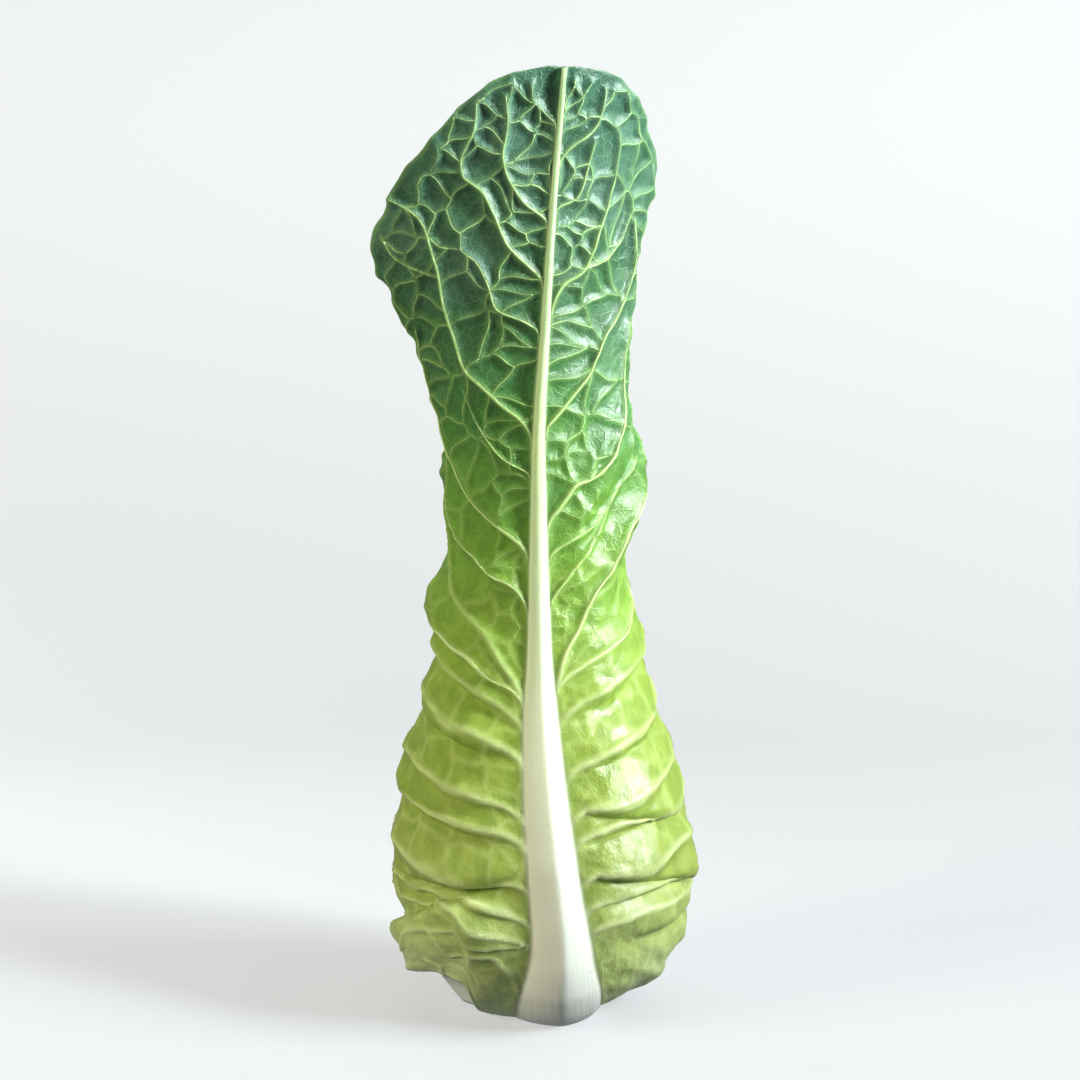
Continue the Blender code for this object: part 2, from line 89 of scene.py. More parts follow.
PUFF_LOSS = 0.45  # share of the pleats' swelling that is lost towards the edge

# (share of the height where a row leaves the midrib, half width, height at the edge)
LEFT_EDGE = scaled(EDGES, [
    (0, 560, 200), (5, 730, 270), (10, 840, 410), (16, 890, 600), (21, 880, 830), (26, 830, 1060),
    (31, 750, 1300), (36, 670, 1520), (41, 600, 1740), (46, 550, 1960), (51, 535, 2180),
    (55, 530, 2340), (60, 570, 2520), (66, 645, 2710), (72, 575, 2860), (78, 485, 3000),
    (85, 390, 3120), (92, 270, 3235), (97, 140, 3295), (100, 50, 3310),
])
FRONT_LEFT_FOOT = scaled(EDGES, [(0, 600, 40), (5, 730, 190), (10, 840, 380)])
FRONT_RIGHT_FOOT = scaled(EDGES, [(0, 410, 40), (5, 670, 200), (10, 800, 400)])
RIGHT_EDGE = scaled(EDGES, [
    (0, 540, 170), (5, 710, 270), (10, 800, 410), (16, 850, 610), (21, 840, 840), (26, 800, 1060),
    (31, 730, 1300), (36, 650, 1520), (41, 580, 1740), (46, 530, 1960), (51, 500, 2180),
    (57, 490, 2420), (63, 500, 2640), (69, 520, 2830), (74, 500, 2970), (80, 410, 3100),
    (86, 320, 3190), (92, 220, 3265), (97, 120, 3300), (100, 50, 3310),
])
ROW_BEND = [(0, 2.4), (0.1, 1.5), (0.3, 1.1), (0.6, 1.15), (0.8, 1.3), (1, 1.4)]
# The front leaf's lower left, as (distance from the midrib, height): a lobe stands out below a
# fold line, and the margin under it is lifted off the ground
LOBE_LINE = scaled(LENGTHS, [
    (100, 470), (200, 515), (320, 500), (550, 400), (800, 300),
])
LOBE_START = (0.012, 0.032)  # distances between which it grows
LOBE_END = (0.078, 0.092)  # and fades, round the side
LOBE_OUT = 0.0056  # how far it stands out
LOBE_STEP = 0.005  # height over which it comes out
LOBE_RISE = 0.003  # how far its top stands up over the fold
LOBE_TUCK = 0.001  # how far the blade above is tucked in
LOBE_TURN = (0.01, 0.024)  # distances below the line between which it turns in again
LOBE_TURNED = 0.35  # share of LOBE_OUT that it turns in
HEM_START = (0.044, 0.06)  # distances from the midrib between which its hem starts to curl out
HEM_OUT = 0.0042
FOOT_LIFT = scaled(LENGTHS, [
    (0, 0), (220, 0), (280, 20), (330, 180), (450, 190), (550, 150), (650, 100), (800, 60),
])
LIFT_TOP = 0.055  # height from which nothing is lifted

# Side veins of a leaf, as (share of the height where it leaves the midrib, strength)
LEFT_VEINS = scaled(VEINS, [
    (117, 6), (140, 6), (177, 9), (220, 10), (247, 8), (302, 10), (338, 9), (361, 8), (456, 5),
    (514, 10), (575, 4), (632, 10), (734, 5), (794, 9), (854, 8), (910, 5), (949, 4),
])
RIGHT_VEINS = scaled(VEINS, [
    (127, 6), (152, 7), (180, 8), (220, 10), (244, 8), (285, 10), (340, 8), (455, 4), (510, 5),
    (544, 10), (641, 10), (700, 4), (766, 10), (859, 6), (913, 8), (950, 4),
])

SIDE_VEINS = {-1: LEFT_VEINS, 1: RIGHT_VEINS}

# The front leaf's side veins above its belly, as seen from the front: strength, and points
# (x, height) in millimetres from the midrib outwards. They climb more steeply than its rows.
DRAWN_LEFT = [
    (1, [(-6.8, 120), (-16.6, 137), (-28.5, 154), (-33, 172), (-35, 186), (-37, 200)]),
    (0.4, [(-5, 151), (-11.5, 158), (-18.6, 163), (-25, 171), (-31, 184)]),
    (1, [(-4.6, 169), (-15.6, 179), (-26, 190), (-32, 203), (-38, 230), (-41, 243)]),
    (0.25, [(-5, 196), (-11.5, 200), (-19, 210), (-25, 224)]),
    (1, [(-4, 209), (-13.6, 220), (-24, 231), (-32, 256), (-34, 266), (-38, 279), (-45, 286),
           (-50, 289)]),
    (0.4, [(-33, 262), (-42, 265), (-48, 270), (-52, 275)]),
    (0.5, [(-1.2, 244), (-7, 248), (-14.5, 252), (-17, 259), (-20.6, 266), (-26, 272), (-26, 277)]),
    (0.9, [(0, 261), (-11.4, 274), (-15, 284), (-18.5, 290), (-25, 296), (-25.8, 302), (-21.5, 311),
           (-20.4, 319)]),
    (0.85, [(1.5, 281), (-6, 288), (-11.3, 297), (-12.2, 304), (-10.6, 312), (-11.2, 322)]),
    (0.5, [(5, 313), (1.2, 317), (-2.4, 321), (-3, 326)]),
]
DRAWN_RIGHT = [
    (0.9, [(8.6, 123), (21.8, 134), (28.5, 141), (32, 149), (34, 158)]),
    (1, [(7.5, 124), (9, 134), (17, 151), (25.5, 172), (29, 186)]),
    (0.3, [(4, 153), (12, 163), (20, 176), (24, 188)]),
    (0.5, [(3.3, 168), (15, 175), (25, 189), (29, 198)]),
    (1, [(2.7, 180), (10.7, 189), (23.4, 201), (27, 219), (28, 231), (30, 246)]),
    (1, [(2.4, 212), (15.5, 227), (22, 241), (28, 252), (32, 266), (33, 280)]),
    (1, [(3.4, 252), (7.4, 259), (14.8, 265), (20.5, 280), (25, 296), (27, 306)]),
    (0.6, [(14.8, 265), (22, 268), (29, 274), (33, 284)]),
    (0.6, [(4.3, 286), (12, 289), (15.7, 299), (18, 306)]),
    (0.9, [(5.8, 302), (15.6, 309), (19.5, 314), (22, 323)]),
    (0.4, [(7, 318), (13, 321), (17, 326)]),
]


def profile(knots, x):
    """The smooth curve through (x, value) knots, held level beyond its ends."""
    at, value = np.array(knots, float).T
    secant = np.diff(value) / np.diff(at)
    before, after = secant[:-1], secant[1:]
    level = before * after <= 0
    inner = np.where(level, 0, 2 * before * after / np.where(level, 1, before + after))
    slope = np.concatenate([secant[:1], inner, secant[-1:]])
    x = np.clip(x, at[0], at[-1])
    i = np.clip(np.searchsorted(at, x, side="right") - 1, 0, len(at) - 2)
    step = at[i + 1] - at[i]
    f = (x - at[i]) / step
    ends = value[i] * (1 + 2 * f) * (1 - f) ** 2 + value[i + 1] * f * f * (3 - 2 * f)
    return ends + step * f * (1 - f) * (slope[i] * (1 - f) - slope[i + 1] * f)


def shell(height, layer):
    share = layer / LAYERS
    return profile(OUTER_SHELL, height) * share + profile(INNER_SHELL, height) * (1 - share)


def joined(*parts):
    """Arrays of numbers as the columns of one array of points or faces."""
    return np.stack(parts, -1)


def smooth(low, high, x):
    f = np.clip((x - low) / (high - low), 0, 1)
    return f * f * (3 - 2 * f)


def bell(x):
    return np.exp(-(x**2))


class Ripple:
    """A smooth wandering value along one or two directions: a sum of waves with random phases."""

    def __init__(self, seed, length, waves=5):
        rng = np.random.RandomState(seed)
        self.turn = rng.uniform(0, 2 * math.pi, waves)
        self.heading = rng.uniform(0, 2 * math.pi, waves)
        self.pace = 2 * math.pi / (length * rng.uniform(0.7, 1.6, waves))

    def at(self, x, y=0):
        total = 0
        for turn, heading, pace in zip(self.turn, self.heading, self.pace):
            total = total + np.sin((x * math.cos(heading) + y * math.sin(heading)) * pace + turn)
        return total / math.sqrt(len(self.turn))


class Leaf:
    """One wrapper leaf, with the same sizes as in the part's source and more detail."""

    base = 0  # height of its foot
    width = rib = 1  # times the half widths of the edge and of the midrib
    lean = flare = ((0, 0), (1, 0))  # aside and outwards by height, in tenths of a millimetre
    unroll = ((0, 1), (1, 1))  # radius of its bend by height, times its layer's
    unroll_right = None  # the same for its right half, where that differs
    creases = bumps = folds = ()
    turned = 0  # how fast its upper right half leans back
    left = LEFT_EDGE
    right = RIGHT_EDGE
    lobed = False
    phase = 0
    drawn = {}  # side veins with a path of their own
    cell = 1  # size of the net's cells, times the front leaf's
    net_from = 0  # height above which the net is raised
    relief = 0.6  # how strongly its veins stand out

    def __init__(self, name, azimuth, layer, height, **shape):
        self.name = name
        self.azimuth = math.radians(azimuth)
        self.layer = layer
        self.height = height
        vars(self).update(shape)
        self.lean = scaled(LENGTHS, self.lean)
        self.flare = scaled(LENGTHS, self.flare)
        self.unroll_right = self.unroll_right or self.unroll
        self.rows_to = 0.37 if self.drawn else 1  # share of the height where drawn veins take over

    def middle(self, v):
        return self.base + v * (self.height - self.base)

    def half_rib(self, v):
        return profile(RIB_HALF_WIDTH, v) * self.rib

    def edge(self, right, v):
        """Half width of a row and height of its end."""
        ends = []
        for n in (1, 2):
            on_right, on_left = ([(k[0], k[n]) for k in half] for half in (self.right, self.left))
            ends.append(np.where(right, profile(on_right, v), profile(on_left, v)))
        width, height = ends[0] * self.width, ends[1]
        scallop = Ripple(self.seed + 50, 0.012).at(height, np.where(right, 0.2, 0))
        width = width + 0.0005 * scallop * smooth(0.1, 0.4, v) * smooth(0, 0.03, width)
        return width, height * (self.height - self.base) / HEIGHT + self.base

    def level(self, v, share, edge):
        """Height of a row at a share of its half width."""
        middle = self.middle(v)
        return middle + (edge - middle) * share ** profile(ROW_BEND, v)


BELOW_CREASE = 0.5  # how far the blade below a crease goes in, as a share of its push
CREASE_GAIN = 1.25


def crease(across, height, side, x0, z0, x1, z1, swell, drop, reach, sag):
    """Push and slide at a fold line across one side of a blade. What is above it hangs over."""
    x = across * side
    along = (x - x0) / (x1 - x0)
    inside = np.clip(along, 0, 1)
    arch = np.sin(math.pi * inside)
    window = np.where((along > 0) & (x > 0), arch**0.6, 0)
    s = (height - (z0 + (z1 - z0) * inside + sag * arch)) / reach
    push = np.tanh(s / 0.25) * np.exp(-np.abs(s)) * np.where(s > 0, 1, BELOW_CREASE)
    slide = np.exp(-((s - 0.25) ** 2) / 0.35)
    return CREASE_GAIN * swell * window * push, CREASE_GAIN * drop * window * slide


# Side, both ends, swell, drop, reach and sag
FRONT_CREASES = scaled((1,) + LENGTHS * 4, [
    (-1, 120, 610, 780, 550, 30, 36, 80, 0), (-1, 140, 1000, 700, 1160, 18, 18, 70, 0),
    (-1, 200, 800, 740, 840, 14, 16, 70, 0), (1, 140, 810, 780, 730, 32, 38, 90, 30),
    (1, 160, 590, 800, 500, 30, 34, 80, 20), (1, 260, 360, 760, 420, 20, 20, 70, 0),
])
# Place, height, swell and reach
FRONT_BUMPS = scaled(LENGTHS * 2, [
    (470, 1930, 55, 150), (-500, 1470, 60, 110), (-470, 1960, 28, 90), (600, 600, 30, 100),
    (-660, 880, 22, 100), (500, 1280, 16, 90), (620, 260, 58, 120), (470, 1600, -12, 140),
    (420, 100, 50, 110),
])
# Thin veins on the lobe, (x, z) in mm from the midrib, as seen from the front
LOBE_VEINS = [
    [(-50.7, 25), (-45.4, 33.5), (-38, 38.5), (-29.2, 40), (-15.8, 36), (-9, 33)],
    [(-28.5, 28), (-27.8, 33), (-22.5, 32), (-15.8, 22), (-14, 16)],
    [(-39.8, 26), (-36.6, 24), (-35.2, 18)],
    [(-38, 38.5), (-34, 30), (-28.5, 28)],
]

# Long soft folds from one point of the flat leaf to another, with swell and reach
FRONT_FOLDS = scaled(LENGTHS * 3, [
    (100, 1520, 360, 1960, -16, 55), (210, 1460, 480, 2040, 22, 50), (80, 1960, 300, 2260, -12, 60),
    (-120, 2100, -360, 2550, 12, 70), (140, 2360, 300, 2900, -16, 60), (340, 2400, 400, 3000, 18, 50),
    (-140, 1120, -500, 1320, -14, 50), (-140, 860, -600, 1000, -14, 50),
    (160, 1100, 500, 1260, -14, 50), (180, 940, 620, 1000, 12, 50),
])
WRAPPERS = [
    Leaf(
        "leaf_front", 0, 4, HEIGHT, puff=FRONT_PUFF, wave=0.0016, creases=FRONT_CREASES,
        bumps=FRONT_BUMPS, folds=FRONT_FOLDS, turned=0.14, lobed=True, net_from=0.13,
        left=FRONT_LEFT_FOOT + LEFT_EDGE[3:], right=FRONT_RIGHT_FOOT + RIGHT_EDGE[3:],
        lean=[(0, 75), (300, 75), (600, 45), (900, 15), (1200, 0), (2000, -5),
              (2500, 20), (2900, 45), (3310, 80)],
        flare=[(0, 0), (2300, 0), (2700, 18), (3000, 50), (3310, 105)],
        unroll=[(0, 1), (0.2, 1), (0.215, 1.15), (0.235, 1.6), (0.255, 2.4), (0.275, 3.2),
                (0.3, 3.5), (0.331, 3.6)],
        unroll_right=[(0, 1), (0.215, 1), (0.25, 1.04), (0.275, 1.14), (0.298, 1.35),
                      (0.331, 1.7)],
        drawn={-1: DRAWN_LEFT, 1: DRAWN_RIGHT}, seed=11, rows=360, columns=90, relief=1,
    ),
    Leaf(
        "leaf_back_right", 144, 3, 0.292, width=0.78, rib=0.9, puff=0.001, wave=0.001, phase=2,
        flare=[(0, 0), (2150, 0), (2500, 12), (2920, 60)],
        unroll_right=[(0, 1), (0.235, 1), (0.262, 1.25), (0.292, 1.5)],
        lean=[(0, 0), (1000, 20), (2000, 0), (2920, -30)],
        seed=23, rows=230, columns=64, cell=1.1,
    ),
    Leaf(
        "leaf_left", -72, 2, 0.268, width=0.8, rib=0.62, base=0.002, puff=0.0006, wave=0.0004,
        phase=4, flare=[(0, 0), (2150, 0), (2400, 15), (2680, 50)],
        seed=37, rows=180, columns=48, cell=1.2,
    ),
    Leaf(
        "leaf_right", 72, 1, 0.25, width=0.74, rib=0.5, base=0.006, puff=0.0006, wave=0.0004,
        phase=1, flare=[(0, 0), (2050, 0), (2500, 35)],
        seed=41, rows=160, columns=44, cell=1.3, net_from=0.15,
    ),
    Leaf(
        "leaf_back_left", -144, 0, 0.234, width=0.68, rib=0.48, base=0.008, puff=0.0005, wave=0.0005,
        phase=3, flare=[(0, 0), (2000, 0), (2340, 20)],
        seed=59, rows=150, columns=42, cell=1.3, net_from=0.14,
    ),
]


def flat_leaf(leaf, v, u):
    """Distance from the midrib, height and share of the half width at (v, u) on the flat leaf."""
    side = np.abs(u)
    rib = leaf.half_rib(v)
    width, edge = leaf.edge(u > 0, v)
    beyond = np.clip((side - RIB_COLUMNS) / (1 - RIB_COLUMNS), 0, 1)
    distance = np.where(side < RIB_COLUMNS, side / RIB_COLUMNS * rib, rib + beyond * (width - rib))
    share = distance / width
    return np.sign(u) * distance, leaf.level(v, share, edge), share


def locate(leaf, across, height):
    """(v, u) of points of the flat leaf, and which of them lie inside its edge."""
    low, high = np.zeros_like(height), np.ones_like(height)
    distance = np.abs(across)
    for _ in range(24):
        v = (low + high) / 2
        width, edge = leaf.edge(across > 0, v)
        reached = leaf.level(v, distance / width, edge)
        low = np.where(reached < height, v, low)
        high = np.where(reached < height, high, v)
    rib = leaf.half_rib(v)
    blade = RIB_COLUMNS + (distance - rib) / (width - rib) * (1 - RIB_COLUMNS)
    side = np.where(distance < rib, distance / rib * RIB_COLUMNS, blade)
    inside = (distance < width) & (v > 0.002) & (v < 0.998)
    return v, np.sign(across) * np.clip(side, 0, 1), inside


def lifted(leaf, across, height):
    """Height of the flat leaf's points with the left margin of the foot lifted."""
    if not leaf.lobed:
        return height
    return height + profile(FOOT_LIFT, -across) * np.maximum(1 - height / LIFT_TOP, 0)


def lobe(leaf, across, height):
    """Outward push and downward slide of the lobe that stands out below its fold line."""
    if not leaf.lobed:
        return np.zeros_like(height), np.zeros_like(height)
    below = profile(LOBE_LINE, -across) - height
    here = smooth(*LOBE_START, -across) * (1 - smooth(*LOBE_END, -across))
    turned = smooth(*LOBE_TURN, below)
    out = LOBE_OUT * smooth(0, LOBE_STEP, below) * (1 - LOBE_TURNED * turned)
    out += HEM_OUT * turned**2 * smooth(*HEM_START, -across)
    out -= LOBE_TUCK * bell(below / LOBE_STEP + 1)
    slide = -LOBE_RISE * bell(below / LOBE_STEP - 1)
    return out * here, slide * here


def bend_of(leaf, across, height):
    """Radius of the leaf's bend, on the left or right half."""
    unroll = np.where(across > 0, profile(leaf.unroll_right, height), profile(leaf.unroll, height))
    return shell(height, leaf.layer) * unroll


def rolled(leaf, across, height):
    """The flat leaf's points rolled round the head, and the way outwards at each."""
    bend = bend_of(leaf, across, height)
    radius = shell(height, leaf.layer) + profile(leaf.flare, height)
    turn = across / bend
    side = bend * np.sin(turn)
    out = radius - bend + bend * np.cos(turn)
    azimuth = leaf.azimuth + profile(leaf.lean, height) / radius
    east, south = np.sin(azimuth), np.cos(azimuth)
    points = joined(out * east + side * south, -out * south + side * east, height)
    outward = joined(np.sin(azimuth + turn), -np.cos(azimuth + turn), np.zeros_like(height))
    return points, outward


def normals_of(points):
    normal = np.cross(np.gradient(points, axis=1), np.gradient(points, axis=0))
    return normal / (np.linalg.norm(normal, axis=-1, keepdims=True) + 1e-12)


SNAP_TO_MAIN = 0.0024  # a corner of the net nearer to a side vein is moved onto it
SHORTEST_CROSSING = 0.0075  # of a line of the net from one main vein to another
SIZE_REACH = 0.1  # half the width of the table of cell sizes
SIZE_STEP = 0.002
SQUARE = 0.022  # side of the squares in which near points are looked up
ASIDE = 0.42  # distance of a cell's middle from the path that it ends on, times its size
APART = 0.92  # least distance between two cells' middles, times their size
NET_LENGTHS = (0.0012, 0.03)  # of a line of the net, from and to
PLEAT_TROUGH = 0.72  # where a pleat is deepest, from one side vein to the one above it


def pleats(v, side):
    """1 on a side vein, falling slowly above it and steeply back below the next one."""
    places = np.array([0] + [p for p, _ in SIDE_VEINS[side]] + [1])
    i = np.clip(np.searchsorted(places, v, side="right") - 1, 0, len(places) - 2)
    step = places[i + 1] - places[i]
    phase = (v - places[i]) / step
    down = 0.5 + 0.5 * np.cos(math.pi * phase / PLEAT_TROUGH)
    back = 0.5 - 0.5 * np.cos(math.pi * (phase - PLEAT_TROUGH) / (1 - PLEAT_TROUGH))
    depth = np.clip(step / 0.035, 0.4, 1) * (0.78 + 0.22 * np.sin(7.3 * i + side))
    return 1 - (1 - np.where(phase < PLEAT_TROUGH, down, back)) * depth


TURNED_BESIDE = 0.004  # distance from the midrib where a turned half starts
TURNED_ABOVE = (0.52, 0.74)  # shares of the height between which it comes in
SINK_SPREAD = 0.0014  # distance from a vein over which the blade sinks
MAIN_SPREAD = 0.0065  # the same, beside a side vein only
MAIN_SINK = 0.8
KEEL_BLUNT = 0.07  # how rounded the keel's ridge is


class Grid:
    """The fine grid of one leaf: its flat coordinates and the surface that they are rolled into."""

    def __init__(self, leaf):
        self.leaf = leaf
        self.v = np.linspace(0, 1, leaf.rows + 1)
        rib = RIB_COLUMNS * np.arange(1, RIB_STEPS + 1) / RIB_STEPS
        blade = RIB_COLUMNS + (1 - RIB_COLUMNS) * np.arange(1, leaf.columns + 1) / leaf.columns
        right = np.concatenate([rib, blade])
        self.u = np.concatenate([-right[::-1], [0], right])
        self.V, self.U = np.meshgrid(self.v, self.u, indexing="ij")
        self.across, self.height, self.share = flat_leaf(leaf, self.V, self.U)
        self.shape()

    def shape(self):
        leaf, v, u = self.leaf, self.V, self.U
        across, height, share = self.across, self.height, self.share
        beside = smooth(RIB_COLUMNS, RIB_COLUMNS + 0.22, np.abs(u))
        belly = np.clip((BELLY_TOP - v) / BELLY_FADE, 0, 1)
        crest = np.where(u < 0, pleats(v, -1), pleats(v, 1))
        push = leaf.puff * crest * beside * belly * smooth(LOWEST_VEIN, LOWEST_VEIN + 0.05, v)
        push *= 1 - PUFF_LOSS * smooth(0.45, 0.85, share)
        upper = np.clip((v - 0.4) / 0.3, 0, 1)
        wave = 0.5 + 0.5 * np.sin(height / WAVE_LENGTH + np.sign(u) + leaf.phase)
        below_tip = 1 - smooth(0.94, 0.985, v)
        push += leaf.wave * wave * share**4 * (0.4 + 0.6 * upper) * below_tip
        broad = Ripple(leaf.seed, 0.045).at(across, height)
        fine = Ripple(leaf.seed + 1, 0.016).at(across, height)
        amount = leaf.puff / FRONT_PUFF
        push += (0.0005 * broad + 0.0003 * fine) * beside * amount
        push += 0.0007 * Ripple(leaf.seed + 2, 0.012).at(across, height) * share**5 * amount * below_tip
        for x0, z0, x1, z1, swell, reach in leaf.folds:
            along = np.array([x1 - x0, z1 - z0])
            x, z = across - x0, height - z0
            t = np.clip((x * along[0] + z * along[1]) / (along**2).sum(), 0, 1)
            gap = np.hypot(x - t * along[0], z - t * along[1])
            push += swell * np.sin(math.pi * (0.1 + 0.8 * t)) * bell(gap / reach)
        height = lifted(leaf, across, height)
        out, slide = lobe(leaf, across, height)
        push += out
        for row in leaf.creases:
            out, down = crease(across, height, *row)
            push += out
            slide += down
        for at, level, swell, reach in leaf.bumps:
            push += swell * np.exp(-((across - at) ** 2 + (height - level) ** 2) / reach**2)
        base, outward = rolled(leaf, across, np.maximum(height - slide, 0))
        base[..., 1] += leaf.turned * np.maximum(across - TURNED_BESIDE, 0) * smooth(*TURNED_ABOVE, v)
        self.outward = outward
        self.base = base + outward * push[..., None]
        self.normal = normals_of(self.base)

    def relief(self, to_main, main_width, to_net):
        """Raises the blade along its side veins and sinks it between all its veins."""
        leaf, v = self.leaf, self.V
        beside = smooth(RIB_COLUMNS * 0.8, RIB_COLUMNS + 0.05, np.abs(self.U))
        self.near_main = bell(to_main / main_width) * beside
        self.near_net = bell(to_net / NET_HALO) * beside
        depth = profile([(0, 0.0001), (0.3, 0.0002), (0.6, 0.001), (1, 0.0013)], v) * leaf.relief
        sunk = depth * (1 - bell(np.minimum(to_main, to_net) / SINK_SPREAD))
        sunk += MAIN_SINK * depth * (1 - bell(to_main / MAIN_SPREAD))
        rise = profile([(0, 0.001), (0.4, 0.0009), (0.6, 0.0006), (1, 0.0004)], v) * leaf.relief
        raised = rise * self.near_main - sunk * beside + self.crumple(beside)
        self.inner = self.base + self.normal * raised[..., None]
        thick = BLADE + (EDGE - BLADE) * self.share**6
        self.outer = self.inner + self.normal * thick[..., None]
        self.outer += self.outward * self.keel()[..., None]
        self.outer[..., 2] = np.maximum(self.outer[..., 2], 0)
        self.face_normal = normals_of(self.outer)

    def crumple(self, beside):
        """Small sharp wrinkles of the blade, most on the side that is turned to the window."""
        ridged = 0
        for k, (length, share) in enumerate(((0.013, 1), (0.008, 0.6))):
            ripple = Ripple(self.leaf.seed + 70 + k, length).at(self.across, self.height)
            ridged = ridged + share * (0.6 - np.abs(ripple))
        amount = profile([(0, 0.00028), (0.45, 0.00024), (0.7, 0.0001), (1, 0.00008)], self.V)
        return amount * ridged * beside * np.where(self.U > 0, 1, 0.45) * self.leaf.relief

    def keel(self):
        """Height of the midrib: a ridge right of its middle at the foot, and rounded higher up."""
        leaf, v = self.leaf, self.V
        rib = leaf.half_rib(v)
        x = np.clip(self.across / rib, -1, 1)
        ridge = profile([(0, -0.12), (0.1, 0.02), (0.25, 0.16), (0.4, 0.12), (0.55, 0), (1, 0)], v)
        away = np.where(x > ridge, (x - ridge) / (1 - ridge), (ridge - x) / (1 + ridge))
        blunt = KEEL_BLUNT
        tent = 1 - (np.sqrt(away**2 + blunt**2) - blunt) / (math.sqrt(1 + blunt**2) - blunt)
        round_back = np.sqrt(np.clip(1 - away**2, 0, 1))
        roundness = profile([(0, 0.1), (0.25, 0.15), (0.5, 0.75), (1, 1)], v)
        return profile(RIB_HEIGHT, v) * leaf.rib * (tent * (1 - roundness) + round_back * roundness)

    def sample(self, values, v, u):
        """The grid's values at any (v, u)."""
        row = np.interp(v, self.v, np.arange(len(self.v)))
        column = np.interp(u, self.u, np.arange(len(self.u)))
        r = np.clip(row.astype(int), 0, len(self.v) - 2)
        c = np.clip(column.astype(int), 0, len(self.u) - 2)
        fr, fc = (row - r), (column - c)
        if values.ndim == 3:
            fr, fc = fr[..., None], fc[..., None]
        low = values[r, c] * (1 - fc) + values[r, c + 1] * fc
        high = values[r + 1, c] * (1 - fc) + values[r + 1, c + 1] * fc
        return low * (1 - fr) + high * fr


def from_view(leaf, x, z):
    """Distance from the midrib of points seen from the front, on the leaf that faces the camera."""
    bend = bend_of(leaf, x, z)
    return bend * np.arcsin(np.clip((x - profile(leaf.lean, z)) / bend, -0.97, 0.97))


def side_paths(leaf, rng):
    """The side veins on the flat leaf: (points, strength) of each."""
    paths = []
    for side in (-1, 1):
        for place, strength in SIDE_VEINS[side]:
            if place > leaf.rows_to:
                continue
            rib = float(leaf.half_rib(place))
            width = leaf.edge(np.array(side > 0), np.array(place))[0]
            x = np.linspace(rib * 0.9, width * 0.94, 90)
            v = place - 0.018 * np.exp(-(x - rib * 0.9) / 0.0045)
            reach, edge = leaf.edge(np.full(x.shape, side > 0), v)
            paths.append((joined(x * side, leaf.level(v, x / reach, edge)), strength))
        for strength, knots in leaf.drawn.get(side, []):
            seen = np.array(knots) * MM
            across = from_view(leaf, seen[:, 0], seen[:, 1])
            points = joined(across, seen[:, 1])
            z = points[0, 1]
            rib = float(leaf.half_rib(z / leaf.height))
            if abs(points[0, 0]) < rib * 2.5:
                foot = [(side * rib * 0.8, z - 0.009), (side * rib * 1.3, z - 0.001)]
                points = np.concatenate([foot, points[1:]])
            t = np.linspace(0, len(points) - 1, 16 * len(points))
            curve = [profile(list(enumerate(points[:, k])), t) for k in range(2)]
            paths.append((np.stack(curve, -1), strength))
    swayed = []
    for points, strength in paths:
        sway = Ripple(rng.randint(1 << 30), 0.02).at(np.abs(points[:, 0]), points[:, 1])
        free = np.clip(lengths_along(points) / 0.015, 0, 1)
        swayed.append((points + joined(0 * sway, 0.0006 * sway * free), strength))
    return swayed


def lobe_paths(leaf):
    """The thin veins on the lobe, from where they are seen to the flat leaf."""
    paths = []
    levels = np.linspace(0, 0.08, 161)
    for knots in LOBE_VEINS:
        x, z = np.array(knots).T * MM
        across = from_view(leaf, x + profile(leaf.lean, z), z)
        height = []
        for at, level in zip(across, z):
            beside = np.full(levels.shape, at)
            lift = lifted(leaf, beside, levels)
            height.append(np.interp(level, lift - lobe(leaf, beside, lift)[1], levels))
        paths.append(curve_through(joined(across, height)))
    return paths


def curve_through(knots):
    """An even smooth line through a few points."""
    t = np.linspace(0, 1, len(knots))
    fine = np.linspace(0, 1, 40)
    line = joined(*(np.interp(fine, t, knots[:, k]) for k in range(2)))
    for _ in range(3):
        line[1:-1] = (line[:-2] + 2 * line[1:-1] + line[2:]) / 4
    return line


def lengths_along(points):
    return np.concatenate([[0], np.cumsum(np.linalg.norm(np.diff(points, axis=0), axis=1))])


def evenly(points, step):
    """The same path with points about one step apart."""
    along = lengths_along(points)
    count = max(2, int(round(along[-1] / step)) + 1)
    at = np.linspace(0, along[-1], count)
    return joined(*(np.interp(at, along, points[:, k]) for k in range(2)))


def crossways(points):
    """Unit vectors to the left of a path's direction."""
    ahead = np.gradient(points, axis=0)
    ahead /= np.linalg.norm(ahead, axis=1, keepdims=True) + 1e-12
    return joined(-ahead[:, 1], ahead[:, 0])


class CellSize:
    """Wanted distance between the net's cells: wide near the midrib, narrow near the edge."""

    def __init__(self, leaf):
        x = np.arange(-SIZE_REACH, SIZE_REACH + SIZE_STEP, SIZE_STEP)
        z = np.arange(0, leaf.height + 0.02, SIZE_STEP)
        across, height = np.meshgrid(x, z, indexing="ij")
        v, u, _ = locate(leaf, across, height)
        out = np.clip((np.abs(u) - RIB_COLUMNS) / (1 - RIB_COLUMNS), 0, 1)
        wide = profile([(0, 0.013), (0.45, 0.02), (0.7, 0.024), (0.88, 0.019), (1, 0.012)], v)
        narrow = profile([(0, 0.01), (0.45, 0.011), (0.7, 0.0092), (1, 0.0076)], v)
        self.size = (wide + (narrow - wide) * out**1.3) * leaf.cell

    def at(self, points):
        place = ((points + (SIZE_REACH, 0)) / SIZE_STEP + 0.5).astype(int)
        i, j = np.clip(place, 0, np.array(self.size.shape) - 1).T
        return self.size[i, j]


